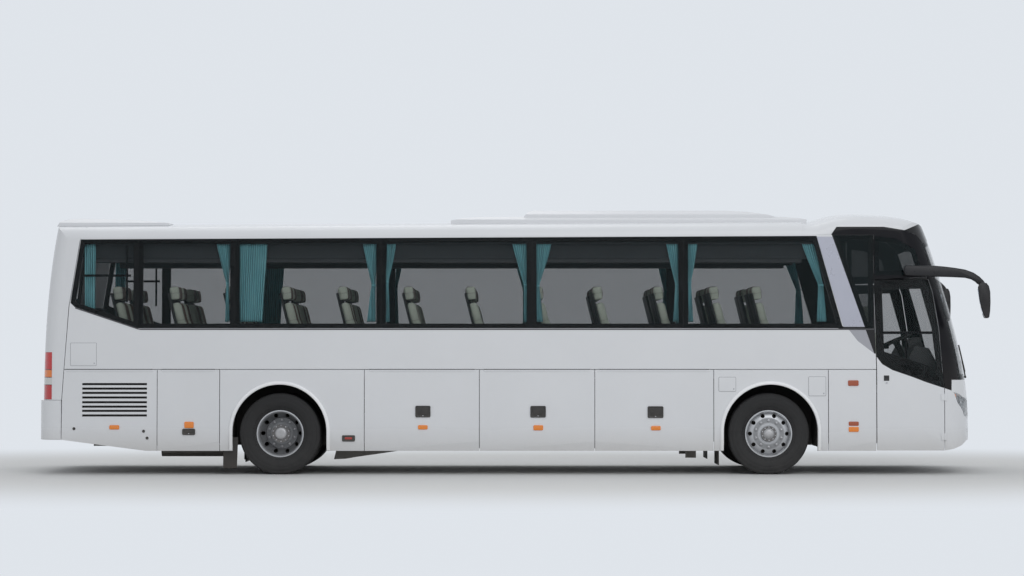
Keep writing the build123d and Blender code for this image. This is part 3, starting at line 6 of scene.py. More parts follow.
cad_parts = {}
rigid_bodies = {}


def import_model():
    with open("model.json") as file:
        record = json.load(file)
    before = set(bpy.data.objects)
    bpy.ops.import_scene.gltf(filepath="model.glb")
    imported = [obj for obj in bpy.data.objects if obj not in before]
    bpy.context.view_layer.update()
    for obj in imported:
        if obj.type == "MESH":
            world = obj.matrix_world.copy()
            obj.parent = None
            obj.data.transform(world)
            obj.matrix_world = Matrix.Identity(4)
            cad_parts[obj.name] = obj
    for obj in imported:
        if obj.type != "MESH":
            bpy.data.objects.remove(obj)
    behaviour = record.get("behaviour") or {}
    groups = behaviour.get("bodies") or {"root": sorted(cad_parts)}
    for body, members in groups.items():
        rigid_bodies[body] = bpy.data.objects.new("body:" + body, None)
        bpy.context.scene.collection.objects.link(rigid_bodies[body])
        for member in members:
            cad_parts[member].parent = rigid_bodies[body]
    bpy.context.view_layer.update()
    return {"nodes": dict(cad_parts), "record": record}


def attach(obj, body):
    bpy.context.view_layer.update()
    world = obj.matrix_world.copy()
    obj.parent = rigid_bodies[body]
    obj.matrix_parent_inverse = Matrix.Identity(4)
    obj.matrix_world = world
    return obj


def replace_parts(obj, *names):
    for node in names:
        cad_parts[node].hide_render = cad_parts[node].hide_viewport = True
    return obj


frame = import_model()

nodes = frame["nodes"]
SIDES = (("right", -1.0), ("left", 1.0))


# ---------------------------------------------------------------- frame and running gear
# Welded steel frame rails with their crossmembers, a dropped front beam, a drive axle
# housing, the engine block at the tail, and tanks slung between the rails. All of it is
# sprayed chassis black over weld scale, and road dirt dries on it.
def feed(tree, node, inputs):
    """Fill inputs of a node; each takes a value or the socket that feeds it."""
    for key, value in dict(inputs).items():
        if isinstance(value, bpy.types.NodeSocket):
            tree.links.new(value, node.inputs[key])
        else:
            node.inputs[key].default_value = value


def add_node(tree, kind, inputs=(), **settings):
    """A shader node with its settings and its inputs."""
    node = tree.nodes.new(f"ShaderNode{kind}")
    for key, value in settings.items():
        setattr(node, key, value)
    feed(tree, node, inputs)
    return node


def maths(tree, operation, *values, **settings):
    """The result of one step of arithmetic."""
    return add_node(tree, "Math", enumerate(values), operation=operation,
                    **settings).outputs["Value"]


def vectors(tree, operation, first, *second):
    """The result of one step of vector arithmetic, a vector or a number."""
    key = "Scale" if operation == "SCALE" else 1
    node = add_node(tree, "VectorMath", {0: first, **{key: value for value in second}},
                    operation=operation)
    return node.outputs["Vector" if operation in ("SCALE", "MULTIPLY") else "Value"]


def ranged(tree, value, low, high, least=0.0, most=1.0, **settings):
    """A value carried from one range to another."""
    return add_node(tree, "MapRange", {"Value": value, "From Min": low, "From Max": high,
                                       "To Min": least, "To Max": most},
                    **settings).outputs["Result"]


def mixed(tree, share, first, second, kind="RGBA"):
    """A blend of two colours or two numbers."""
    return add_node(tree, "Mix", {"Factor": share, "A": first, "B": second},
                    data_type=kind).outputs["Result"]


def split(tree, vector):
    """The X, Y and Z of a vector."""
    return add_node(tree, "SeparateXYZ", {"Vector": vector}).outputs


def noise(tree, place, scale, detail, rough=0.5):
    """Cloudy noise, 0 to 1."""
    return add_node(tree, "TexNoise", {"Vector": place, "Scale": scale, "Detail": detail,
                                       "Roughness": rough}).outputs["Fac"]


def relief(tree, height, distance, strength):
    """A height as fine relief, for a shader's normal."""
    return add_node(tree, "Bump", {"Height": height, "Distance": distance,
                                   "Strength": strength}).outputs["Normal"]


FLOAT, COLOUR = "NodeSocketFloat", "NodeSocketColor"
weather = bpy.data.node_groups.new("Weathered surface", "ShaderNodeTree")
for label, kind, value in (
        ("Colour", COLOUR, (0.5, 0.5, 0.5, 1)), ("Roughness", FLOAT, 0.5),
        ("Mottle", FLOAT, 0.05), ("Mottle Scale", FLOAT, 2.0),
        ("Dust", COLOUR, (0.33, 0.29, 0.24, 1)), ("Dust Amount", FLOAT, 0.0),
        ("Dust Low", FLOAT, 0.25), ("Dust High", FLOAT, 0.9),
        ("Grain Scale", FLOAT, 300.0), ("Grain Height", FLOAT, 0.0)):
    weather.interface.new_socket(label, in_out="INPUT", socket_type=kind).default_value = value
for label, kind in (("Colour", COLOUR), ("Roughness", FLOAT), ("Height", FLOAT)):
    weather.interface.new_socket(label, in_out="OUTPUT", socket_type=kind)
given = weather.nodes.new("NodeGroupInput").outputs
place = add_node(weather, "TexCoord").outputs["Object"]
clouds = noise(weather, place, given["Mottle Scale"], 5.0, 0.6)
uneven = maths(weather, "MULTIPLY", ranged(weather, clouds, 0.3, 0.7, -1.0, 1.0),
               given["Mottle"])
toned = vectors(weather, "SCALE", given["Colour"], maths(weather, "ADD", uneven, 1.0))
fallen = maths(weather, "MULTIPLY",
               ranged(weather, split(weather, place)["Z"], given["Dust High"],
                      given["Dust Low"]), given["Dust Amount"])
film = maths(weather, "MULTIPLY", fallen, ranged(weather, clouds, 0.35, 0.65, 0.55, 1.0),
             use_clamp=True)
duller = maths(weather, "MULTIPLY_ADD", film, 0.4, given["Roughness"])
grains = noise(weather, place, given["Grain Scale"], 2.0)
feed(weather, weather.nodes.new("NodeGroupOutput"), {
    "Colour": mixed(weather, film, toned, given["Dust"]),
    "Roughness": maths(weather, "MULTIPLY_ADD", uneven, 0.6, duller, use_clamp=True),
    "Height": maths(weather, "MULTIPLY", grains, given["Grain Height"])})


def new_material(name, sockets=()):
    """A material, its nodes, and its shader with these values."""
    mat = bpy.data.materials.new(name)
    mat.use_nodes = True
    shader = mat.node_tree.nodes["Principled BSDF"]
    feed(mat.node_tree, shader, sockets)
    return mat, mat.node_tree, shader


def weathering(tree, colour, roughness, mottle, dust, grain, dust_colour):
    """The outputs of a weathered surface."""
    surface = add_node(tree, "Group", node_tree=weather)
    feed(tree, surface, dict(zip(
        ("Colour", "Roughness", "Mottle", "Mottle Scale", "Dust Amount", "Dust Low",
         "Dust High", "Grain Scale", "Grain Height", "Dust"),
        ((*colour, 1), roughness, *mottle, *dust, *grain, (*dust_colour, 1)))))
    return surface.outputs


def weathered(name, colour, roughness, sockets=(), mottle=(0.05, 2.0), dust=(0.0, 0.25, 0.9),
              grain=(300.0, 0.0), dust_colour=(0.33, 0.29, 0.24)):
    """A material with slight mottling (how much, its scale), road dust (how much, the height
    below which it lies thick and the one where it ends) and a grain (its scale, its height)."""
    mat, tree, shader = new_material(name, sockets)
    surface = weathering(tree, colour, roughness, mottle, dust, grain, dust_colour)
    feed(tree, shader, {"Base Color": surface["Colour"], "Roughness": surface["Roughness"]})
    if grain[1]:
        feed(tree, shader, {"Normal": relief(tree, surface["Height"], 0.001, 0.6)})
    return mat


def give(node, material):
    """One material all over a solid of the frame."""
    nodes[node].data.materials.clear()
    nodes[node].data.materials.append(material)


chassis_black = weathered("chassis black", (0.030, 0.030, 0.031), 0.62, mottle=(0.35, 6.0),
                          dust=(0.55, 0.1, 1.3), grain=(180.0, 0.6))
cast_grey = weathered("painted casting", (0.13, 0.14, 0.14), 0.55, mottle=(0.3, 5.0),
                      dust=(0.5, 0.2, 1.2), grain=(120.0, 1.2))
tank_grey = weathered("dull tank steel", (0.22, 0.22, 0.22), 0.5, {"Metallic": 0.6},
                      mottle=(0.25, 8.0), dust=(0.5, 0.2, 1.0))
give("chassis", chassis_black)
give("axles", chassis_black)
give("tanks_and_exhaust", tank_grey)
for node in ("engine", "knuckle_right", "knuckle_left"):
    give(node, cast_grey)


# ---------------------------------------------------------------- floors, bays and wheel houses
# Plywood floors under hard-wearing sheet, luggage bays lined with ribbed aluminium sheet,
# and moulded wheel houses with rubber mud flaps, all screwed to the frame.
floor_sheet = weathered("speckled floor covering", (0.105, 0.110, 0.120), 0.6,
                        mottle=(0.25, 60.0), grain=(500.0, 0.4))
lining = weathered("bay lining", (0.30, 0.31, 0.32), 0.42, {"Metallic": 0.7},
                   mottle=(0.15, 9.0), dust=(0.3, 0.3, 1.0))
house_black = weathered("wheel house black", (0.022, 0.022, 0.023), 0.8, mottle=(0.3, 7.0),
                        dust=(0.35, 0.05, 1.1), grain=(90.0, 1.5),
                        dust_colour=(0.17, 0.15, 0.13))
give("floor", floor_sheet)
give("steps", floor_sheet)
give("luggage_bay", lining)
give("wheel_houses", house_black)


# ---------------------------------------------------------------- tyres
# Radial bus tyres of black rubber, moulded with four tread grooves, shoulder blocks and
# rings on the sidewall. They sit on the bead seats of the rims, held by their pressure.
def fresh():
    """Object mode with nothing selected."""
    if bpy.context.object and bpy.context.object.mode != "OBJECT":
        bpy.ops.object.mode_set(mode="OBJECT")
    bpy.ops.object.select_all(action="DESELECT")


def take(obj):
    """Only this piece selected and active."""
    fresh()
    obj.select_set(True)
    bpy.context.view_layer.objects.active = obj
    return obj


def traced(name, points):
    """A line of vertices through these points, left in edit mode."""
    fresh()
    bpy.ops.mesh.primitive_plane_add(size=0.01, location=points[0])
    line = bpy.context.object
    line.name = name
    bpy.ops.object.mode_set(mode="EDIT")
    bpy.ops.mesh.select_mode(type="VERT")
    bpy.ops.mesh.merge(type="CENTER")
    for start, end in zip(points, points[1:]):
        bpy.ops.mesh.extrude_vertices_move(TRANSFORM_OT_translate={"value": end - start})
    bpy.ops.mesh.select_all(action="SELECT")
    return line


def sealed(obj):
    """Doubled vertices of the piece in edit mode merged, its faces turned outwards."""
    bpy.ops.mesh.select_all(action="SELECT")
    bpy.ops.mesh.remove_doubles(threshold=0.00005)
    bpy.ops.mesh.normals_make_consistent(inside=False)
    fresh()
    return obj


def turned(name, profile, centre, steps=96, axle=(0, 1, 0), spoke=(1, 0, 0), way=1.0):
    """A piece turned about an axle; the profile holds (radius, offset) rows."""
    centre, axle, spoke = Vector(centre), Vector(axle), Vector(spoke)
    obj = traced(name, [centre + spoke * r + axle * (way * v) for r, v in profile])
    bpy.ops.mesh.spin(steps=steps, angle=2 * math.pi, center=centre, axis=axle)
    return sealed(obj)


def finish(obj, material, body, slot):
    """Material and body of a piece whose place is already in its mesh; the slot is not used."""
    obj.data.name = obj.name
    obj.data.materials.clear()
    obj.data.materials.append(material)
    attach(obj, body)
    return obj


def settle(obj, material, body, slot, angle=35.0):
    """Place moved into the mesh and smooth faces, then as finish does."""
    take(obj)
    bpy.ops.object.transform_apply(location=True, rotation=True, scale=True)
    bpy.ops.object.shade_smooth_by_angle(angle=math.radians(angle))
    return finish(obj, material, body, slot)


def joined(parts, name):
    """The pieces as one piece."""
    fresh()
    for part in parts:
        part.select_set(True)
    bpy.context.view_layer.objects.active = parts[0]
    if len(parts) > 1:
        bpy.ops.object.join()
    parts[0].name = name
    return parts[0]


def node_of(tree, kind):
    """The node of this kind in a material that has only one."""
    return next(node for node in tree.nodes if node.type == kind)


def chart_round(obj, centre):
    """A UV map that runs round the axle in turns and across the tread in metres."""
    layer = obj.data.uv_layers.new(name="round")
    for face in obj.data.polygons:
        start = math.atan2(face.center.z - centre[2], face.center.x - centre[0])
        for loop in face.loop_indices:
            spot = obj.data.vertices[obj.data.loops[loop].vertex_index].co
            angle = math.atan2(spot.z - centre[2], spot.x - centre[0])
            angle += 2 * math.pi * round((start - angle) / (2 * math.pi))
            layer.data[loop].uv = (angle / (2 * math.pi), abs(spot.y - centre[1]))


AXLE_Z = 0.515
FRONT_AXLE, REAR_AXLE = 3.270, -2.920
TYRES = (("front_tyre", "front_wheel", FRONT_AXLE, (1.060,)),
         ("rear_tyres", "rear_wheels", REAR_AXLE, (1.057, 0.722)))
TYRE_HALF = [(0.298, 0.1120), (0.305, 0.1190), (0.318, 0.1245), (0.326, 0.1285),
             (0.330, 0.1272), (0.334, 0.1300), (0.352, 0.1360), (0.375, 0.1415),
             (0.400, 0.1445), (0.418, 0.1450), (0.422, 0.1434), (0.427, 0.1447),
             (0.450, 0.1425), (0.470, 0.1390), (0.475, 0.1362), (0.480, 0.1370),
             (0.492, 0.1345), (0.503, 0.1305), (0.5095, 0.1255), (0.5130, 0.1190),
             (0.5145, 0.1080), (0.5145, 0.0870), (0.5010, 0.0850), (0.5010, 0.0790),
             (0.5148, 0.0770), (0.5150, 0.0350), (0.5010, 0.0330), (0.5010, 0.0270),
             (0.5150, 0.0250)]
TYRE_PROFILE = TYRE_HALF + [(r, -v) for r, v in reversed(TYRE_HALF)] + [TYRE_HALF[0]]
SHOULDER_BLOCKS, SLIT_SHARE = 58.0, 0.26

tyre_rubber = weathered("tyre rubber", (0.017, 0.017, 0.018), 0.66, {"Specular IOR Level": 0.3},
                        mottle=(0.25, 9.0), dust=(0.24, 0.0, 1.25), grain=(220.0, 0.5),
                        dust_colour=(0.13, 0.125, 0.12))
tree = tyre_rubber.node_tree
around = split(tree, add_node(tree, "UVMap", uv_map="round").outputs["UV"])
slit = maths(tree, "LESS_THAN",
             maths(tree, "FRACT", maths(tree, "MULTIPLY", around["X"], SHOULDER_BLOCKS)),
             SLIT_SHARE)
band = maths(tree, "MULTIPLY", ranged(tree, around["Y"], 0.0900, 0.0915),
             ranged(tree, around["Y"], 0.1325, 0.1345, 1.0, 0.0))
feed(tree, node_of(tree, "BUMP"), {
    "Distance": 0.0012, "Strength": 1.0,
    "Height": maths(tree, "MULTIPLY_ADD", maths(tree, "MULTIPLY", slit, band), -6.0,
                    node_of(tree, "GROUP").outputs["Height"])})
for side, way in SIDES:
    for node, body, x, offsets in TYRES:
        rings = []
        for y in offsets:
            centre = (x, way * y, AXLE_Z)
            rings.append(take(turned(f"{node}_ring", TYRE_PROFILE, centre, 128)))
            bpy.ops.object.transform_apply(location=True, rotation=True, scale=True)
            chart_round(rings[-1], centre)
        tyre = joined(rings, f"tread_{node}_{side}")
        settle(tyre, tyre_rubber, f"{body}_{side}", "tyre_rubber", 40.0)
        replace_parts(tyre, f"{node}_{side}")


# ---------------------------------------------------------------- wheel rims, nuts and hubs
# Pressed steel disc wheels in silver paint, with ten hand holes each, ten capped nuts on
# the hub's studs, and a bolted hub flange behind a centre cap. Painted shade and some brake
# dust darken the dished part and a ring round the nuts.
def rounded(obj, width, segments=2, angle=None):
    """Rounded edges; an angle says how sharp an edge has to be for it."""
    take(obj)
    rounding = obj.modifiers.new("rounding", "BEVEL")
    rounding.width = width
    rounding.segments = segments
    if angle:
        rounding.limit_method = "ANGLE"
        rounding.angle_limit = math.radians(angle)
    bpy.ops.object.modifier_apply(modifier="rounding")
    return obj


def refined(node, name, edge=0.003, angle=30.0):
    """A copy of a rigid solid with merged corners, smooth faces and rounded edges."""
    obj = bpy.data.objects.new(name, nodes[node].data.copy())
    bpy.context.scene.collection.objects.link(obj)
    take(obj)
    bpy.ops.object.mode_set(mode="EDIT")
    bpy.ops.mesh.select_all(action="SELECT")
    bpy.ops.mesh.remove_doubles(threshold=0.0001)
    take(obj)
    bpy.ops.object.shade_smooth_by_angle(angle=math.radians(angle))
    if edge:
        rounded(obj, edge, 2, angle)
    evening = obj.modifiers.new("evening", "WEIGHTED_NORMAL")
    evening.keep_sharp = True
    bpy.ops.object.modifier_apply(modifier="evening")
    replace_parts(obj, node)
    return obj


def pick_faces(obj, test):
    """Edit mode with only the faces selected that pass a test of centre and normal."""
    take(obj)
    bpy.ops.object.mode_set(mode="EDIT")
    bpy.ops.mesh.select_mode(type="FACE")
    bpy.ops.mesh.select_all(action="DESELECT")
    bpy.ops.object.mode_set(mode="OBJECT")
    for face in obj.data.polygons:
        face.select = test(face.center, face.normal)
    bpy.ops.object.mode_set(mode="EDIT")


def copied(piece, name, matrix):
    """A copy with its own mesh, its place in the mesh."""
    twin = bpy.data.objects.new(name, piece.data.copy())
    bpy.context.collection.objects.link(twin)
    twin.data.name = name
    twin.data.transform(matrix)
    return twin


def ringed(name, radius, tall, count, centre, ring, way):
    """Six-sided nuts with stepped, narrowing caps, in a ring about a line along Y."""
    fresh()
    bpy.ops.mesh.primitive_cylinder_add(vertices=6, radius=radius, depth=tall,
                                        location=(0, 0, 0), rotation=(math.pi / 2, 0, 0))
    nut = take(bpy.context.object)
    bpy.ops.object.transform_apply(location=True, rotation=True, scale=True)
    pick_faces(nut, lambda centre, normal: normal.y * way > 0.9)
    bpy.ops.mesh.inset(thickness=radius * 0.22)
    bpy.ops.mesh.extrude_region_move(
        TRANSFORM_OT_translate={"value": (0, way * tall * 0.35, 0)})
    bpy.ops.transform.resize(value=(0.72, 1.0, 0.72))
    rounded(nut, radius * 0.08)
    nuts = [copied(nut, f"{name}_{i}", Matrix.Translation(centre)
                   @ Matrix.Rotation(2 * math.pi * (i + 0.5) / count, 4, "Y")
                   @ Matrix.Translation((ring, 0, 0))) for i in range(count)]
    bpy.data.objects.remove(nut)
    return joined(nuts, name)


NUTS, NUT_RING, AXLE_MIDDLE = 10, 0.1675, 0.175
rim_silver = weathered("silver rim paint", (0.52, 0.53, 0.55), 0.36, {"Metallic": 0.55},
                       mottle=(0.10, 14.0), dust=(0.22, 0.15, 0.95),
                       dust_colour=(0.19, 0.17, 0.15))
# painted shade, with some brake dust, darkens the dished part of the discs and a ring round the
# nuts
tree = rim_silver.node_tree
axes = split(tree, add_node(tree, "TexCoord").outputs["Object"])
sunk = ranged(tree, maths(tree, "ABSOLUTE", axes["Y"]), 1.05, 1.165, 0.62, 1.0)
along = maths(tree, "ABSOLUTE", maths(tree, "SUBTRACT", axes["X"], AXLE_MIDDLE))
from_axle = vectors(tree, "DISTANCE",
                    add_node(tree, "CombineXYZ", {"X": along, "Z": axes["Z"]}).outputs[0],
                    (FRONT_AXLE - AXLE_MIDDLE, 0.0, AXLE_Z))
from_nuts = maths(tree, "ABSOLUTE", maths(tree, "SUBTRACT", from_axle, NUT_RING))
dust_and_shade = maths(tree, "MULTIPLY", ranged(tree, from_nuts, 0.022, 0.040, 0.55, 1.0), sunk)
feed(tree, tree.nodes["Principled BSDF"], {
    "Base Color": vectors(tree, "SCALE", node_of(tree, "GROUP").outputs["Colour"], dust_and_shade)})
nut_steel = weathered("zinc plated nuts", (0.48, 0.48, 0.50), 0.38, {"Metallic": 0.85},
                      mottle=(0.2, 40.0), dust=(0.25, 0.2, 0.9))
hub_grey = weathered("hub flange grey", (0.13, 0.13, 0.135), 0.5, {"Metallic": 0.4},
                     mottle=(0.25, 25.0), dust=(0.3, 0.2, 0.9))
cap_silver = weathered("cast hub cap", (0.46, 0.46, 0.47), 0.42, {"Metallic": 0.5},
                       mottle=(0.15, 18.0), dust=(0.15, 0.2, 0.9))
# rim, body, axle x, tyre y, nut seat, bolt seat, bolt ring, cap profile
WHEELS = (
    ("front_rim", "front_wheel", FRONT_AXLE, 1.060, 0.106, 0.150, 0.084,
     [(0.0, 0.1715), (0.0, 0.1745), (0.030, 0.1735), (0.050, 0.1690), (0.060, 0.1600),
      (0.066, 0.1490), (0.0, 0.1490)]),
    ("rear_rims", "rear_wheels", REAR_AXLE, 1.057, -0.152, 0.006, 0.102,
     [(0.0, 0.0270), (0.0, 0.0335), (0.040, 0.0330), (0.062, 0.0305), (0.074, 0.0220),
      (0.080, 0.0055), (0.0, 0.0055)]))
for side, way in SIDES:
    for node, wheel, x, y, nut_seat, bolt_seat, bolt_ring, cap_profile in WHEELS:
        body, name = f"{wheel}_{side}", f"{node}_{side}"
        finish(refined(name, f"disc_{name}", 0.0015, 28.0), rim_silver, body, "rim_silver")
        for label, radius, tall, seat, ring in (
                ("nuts", 0.0175, 0.022, nut_seat + 0.010, NUT_RING),
                ("hub_bolts", 0.0095, 0.010, bolt_seat + 0.006, bolt_ring)):
            settle(ringed(f"{label}_{name}", radius, tall, NUTS,
                          (x, way * (y + seat), AXLE_Z), ring, way),
                   nut_steel, body, "rim_silver")
        centre = (x, way * y, AXLE_Z)
        settle(turned(f"hub_cap_{name}", cap_profile, centre, 64, way=way), cap_silver,
               body, "rim_silver")
        inner, outer = cap_profile[-2][0] - 0.006, bolt_ring + 0.0145
        low, high = bolt_seat - 0.001, bolt_seat + 0.0035
        settle(turned(f"bolt_seat_{name}", [(inner, low), (inner, high), (outer - 0.002, high),
                                            (outer, bolt_seat + 0.0015), (outer, low),
                                            (inner, low)], centre, 64, way=way),
               hub_grey, body, "rim_silver")


# ---------------------------------------------------------------- brake drums
# A cast iron drum bolted behind every disc, brown with heat and brake dust, and a pressed
# dust shield that closes its open end, fixed to the knuckle or to the axle housing.
drum_iron = weathered("cast iron drum", (0.050, 0.040, 0.034), 0.72, {"Metallic": 0.3},
                      mottle=(0.35, 16.0), dust=(0.5, 0.2, 1.0), grain=(150.0, 0.8),
                      dust_colour=(0.1, 0.075, 0.055))
# wheel body, axle x, drum face and open end (off the middle), radius, bore, shield body
DRUMS = (("front_wheel", FRONT_AXLE, 1.140, 1.008, 0.204, 0.118, "knuckle_{}"),
         ("rear_wheels", REAR_AXLE, 0.866, 0.650, 0.189, 0.130, "coach"))
for side, way in SIDES:
    for wheel, x, face, mouth, radius, bore, carrier in DRUMS:
        wall, centre = radius - 0.014, (x, 0.0, AXLE_Z)
        drum = turned(f"brake_drum_{wheel}_{side}", [
            (bore, face), (radius - 0.012, face), (radius, face - 0.012),
            (radius, face - 0.045), (radius - 0.006, face - 0.050),
            (radius - 0.006, mouth + 0.030), (radius + 0.004, mouth + 0.026),
            (radius + 0.004, mouth), (wall, mouth), (wall, face - 0.014),
            (bore, face - 0.014), (bore, face)], centre, 72, way=way)
        settle(drum, drum_iron, f"{wheel}_{side}", "rim_silver")
        shield = turned(f"dust_shield_{wheel}_{side}", [
            (0.062, mouth - 0.008), (0.150, mouth - 0.008), (0.160, mouth - 0.004),
            (0.246, mouth - 0.004), (0.250, mouth + 0.004), (0.252, mouth + 0.004),
            (0.250, mouth - 0.010), (0.062, mouth - 0.012), (0.062, mouth - 0.008)],
            centre, 72, way=way)
        settle(shield, chassis_black, carrier.format(side), "underbody_paint")


# ---------------------------------------------------------------- painted body shell
# Steel side walls, glass-fibre roof and end caps and aluminium lower panels over a welded
# frame, all in gloss white. Beds under the glass are primed black, the corner ahead of
# the slanted fins is black, and road film lies along the bottom edge.
def painted(name, layers=()):
    """Gloss white; each layer is a colour and the half-spaces in (x, off middle, z), with
    their limits, that it fills."""
    mat, tree, shader = new_material(name)
    white = weathering(tree, (0.735, 0.745, 0.765), 0.26, (0.018, 0.9), ROAD_FILM,
                       (26.0, 0.35), FILM_COLOUR)
    colour = white["Colour"]
    if layers:
        axes = split(tree, add_node(tree, "TexCoord").outputs["Object"])
        spot = add_node(tree, "CombineXYZ", {"X": axes["X"], "Z": axes["Z"],
                                             "Y": maths(tree, "ABSOLUTE", axes["Y"])})
    for tone, tests in layers:
        mask = 1.0
        for direction, limit, compare in tests:
            along = vectors(tree, "DOT_PRODUCT", spot.outputs["Vector"], direction)
            mask = maths(tree, "MULTIPLY", maths(tree, compare, along, limit), mask)
        colour = mixed(tree, mask, colour, tone)
    feed(tree, shader, {
        "Base Color": colour, "Roughness": white["Roughness"],
        "Normal": relief(tree, white["Height"], 0.0005, 0.2),
        "Specular IOR Level": 0.28, "Coat Weight": 0.12, "Coat Roughness": 0.06})
    return mat


BLACK = (0.010, 0.010, 0.011, 1)
ROAD_FILM, FILM_COLOUR = (0.40, 0.22, 0.62), (0.46, 0.42, 0.36)
OVER, UNDER = "GREATER_THAN", "LESS_THAN"
ALONG, OFF_MIDDLE, UPRIGHT = (1.0, 0.0, 0.0), (0.0, 1.0, 0.0), (0.0, 0.0, 1.0)
FIN_LINE = (0.9427, 0.0, 0.3336)
plain_white = painted("coach white")
wall_white = painted("coach white walls", (
    (BLACK, ((OFF_MIDDLE, 1.2445, UNDER), (UPRIGHT, 1.845, OVER), (UPRIGHT, 3.030, UNDER))),
    (BLACK, ((FIN_LINE, 4.8485, OVER), (UPRIGHT, 1.530, OVER), (UPRIGHT, 3.060, UNDER))),
    (BLACK, ((ALONG, 4.150, OVER), (ALONG, 4.600, UNDER), (UPRIGHT, 1.846, OVER),
             (UPRIGHT, 1.876, UNDER))),
    ((0.38, 0.385, 0.42, 1), ((FIN_LINE, 4.8485, UNDER), ((0.787, 0.0, 0.617), 4.500, OVER),
                              ((0.604, 0.0, 0.797), 4.000, OVER), (UPRIGHT, 1.846, UNDER))),
    # a dark grey line over the hinge rods along the seam above the lower panels: painted shade
    # of the panel gap
    ((0.045, 0.045, 0.05, 1), ((OFF_MIDDLE, 1.2506, OVER), (UPRIGHT, 1.3245, OVER),
                               (UPRIGHT, 1.3355, UNDER)))))
door_white = painted("coach white doors", (
    (BLACK, ((OFF_MIDDLE, 1.2445, UNDER), (UPRIGHT, 1.10, OVER))),))
dome_white = painted("coach white dome", (
    (BLACK, (((-0.348, 0.0, 1.0), 1.1015, UNDER),)),
    (BLACK, (((-0.41, 0.0, 1.0), 1.047, UNDER),))))
front_white = painted("coach white front", ((BLACK, ((UPRIGHT, 1.1975, OVER),)),))
rear_white = painted("coach white rear", (
    (BLACK, ((OFF_MIDDLE, 1.0098, UNDER), (UPRIGHT, 2.2102, OVER),
             (UPRIGHT, 2.9598, UNDER))),))
body_of_node = {node: body for body, members in frame["record"]["behaviour"]["bodies"].items()
                for node in members}
# node, paint, rounding of its edges
SHELL = [("side_wall_right", wall_white, 0.002), ("side_wall_left", wall_white, 0.002),
         ("roof", plain_white, 0.0), ("roof_dome", dome_white, 0.002),
         ("rear_cap", rear_white, 0.002), ("rear_bumper", plain_white, 0.008),
         ("front_panel", front_white, 0.003), ("engine_lid", plain_white, 0.003),
         ("driver_door", door_white, 0.0025), ("passenger_door", door_white, 0.0025)]
SHELL += [(f"{panel}_{side}", plain_white, 0.0025) for side, way in SIDES for panel in (
    "skirt", "engine_flap", "service_flap", "luggage_door_1", "luggage_door_2",
    "luggage_door_3")]
for node, material, edge in SHELL:
    finish(refined(node, f"panel_{node}", edge), material, body_of_node[node], "body_white")


# ---------------------------------------------------------------- wheel arch beads
# A rounded white plastic moulding pressed over the lip of every wheel opening. Its white is
# lighter than the body paint: a painted highlight where the lip catches the light.
highlight_moulding_white = weathered("white arch moulding", (0.90, 0.905, 0.915), 0.3, mottle=(0.02, 3.0),
                           dust=(0.3, 0.22, 0.62), dust_colour=(0.46, 0.42, 0.36))
# distance from the middle of the arch and off the middle of the coach
BEAD = ((0.6410, 1.2490), (0.6410, 1.2560), (0.6360, 1.2660), (0.6260, 1.2740),
        (0.6130, 1.2780), (0.6020, 1.2770), (0.5960, 1.2720), (0.5945, 1.2640),
        (0.5945, 1.2490))
for side, way in SIDES:
    for name, x in (("rear", -2.922), ("front", 3.290)):
        centre = Vector((x, 0.0, 0.543))
        bead = traced(f"arch_bead_{name}_{side}",
                      [centre + Vector((r, way * y, 0.0)) for r, y in BEAD])
        bpy.ops.mesh.edge_face_add()
        bpy.ops.mesh.spin(steps=64, angle=math.pi, center=centre, axis=(0, 1, 0))
        for end in (-1.0, 1.0):
            bpy.ops.mesh.select_all(action="DESELECT")
            bpy.ops.object.mode_set(mode="OBJECT")
            for vertex in bead.data.vertices:
                spot = bead.matrix_world @ vertex.co
                vertex.select = abs(spot.z - centre.z) < 0.001 and (spot.x - x) * end > 0
            bpy.ops.object.mode_set(mode="EDIT")
            bpy.ops.mesh.select_mode(type="VERT")
            for move in ((0, 0, -0.115), (0, -way * 0.024, -0.122)):
                bpy.ops.mesh.extrude_region_move(TRANSFORM_OT_translate={"value": move})
        settle(sealed(bead), highlight_moulding_white, "coach", "body_white", 60.0)


# ---------------------------------------------------------------- glazing
# Flush panes of toughened glass bonded to the body with black urethane: a dark tint in
# the sides and the rear, a lighter one in the windscreen. A black ceramic border hides
# the bond line.
def looked_at(tree, *others):
    """1 for camera and glossy rays and for the other kinds named here, otherwise 0."""
    rays = add_node(tree, "LightPath").outputs
    looked = maths(tree, "MAXIMUM", rays["Is Camera Ray"], rays["Is Glossy Ray"])
    for kind in others:
        looked = maths(tree, "MAXIMUM", looked, rays[kind])
    return looked


def glazing(name, colour, alpha, ahead=None):
    """Tinted glass: looked at, it hides what is behind by its alpha, or by another one
    ahead of the fins; daylight passes it."""
    mat, tree, shader = new_material(name)
    place = add_node(tree, "TexCoord").outputs["Object"]
    if ahead:
        alpha = ranged(tree, vectors(tree, "DOT_PRODUCT", place, FIN_LINE), 4.80, 4.86, alpha,
                       ahead)
    wide = add_node(tree, "Mapping", {"Vector": place, "Scale": (0.6, 1.0, 3.0)})
    streaks = noise(tree, wide.outputs["Vector"], 3.0, 4.0)
    feed(tree, shader, {"Base Color": (*colour, 1), "Specular IOR Level": 0.18,
                        "Alpha": ranged(tree, looked_at(tree), 0.0, 1.0, 0.06, alpha),
                        "Roughness": ranged(tree, streaks, 0.3, 0.7, 0.015, 0.06)})
    return mat


screen_glass = glazing("windscreen glass", (0.008, 0.014, 0.014), 0.26)
give("windows", glazing("tinted side glass", (0.006, 0.011, 0.012), 0.34, 0.64))
for node in ("windscreen", "driver_door_glass", "passenger_door_glass"):
    give(node, screen_glass)

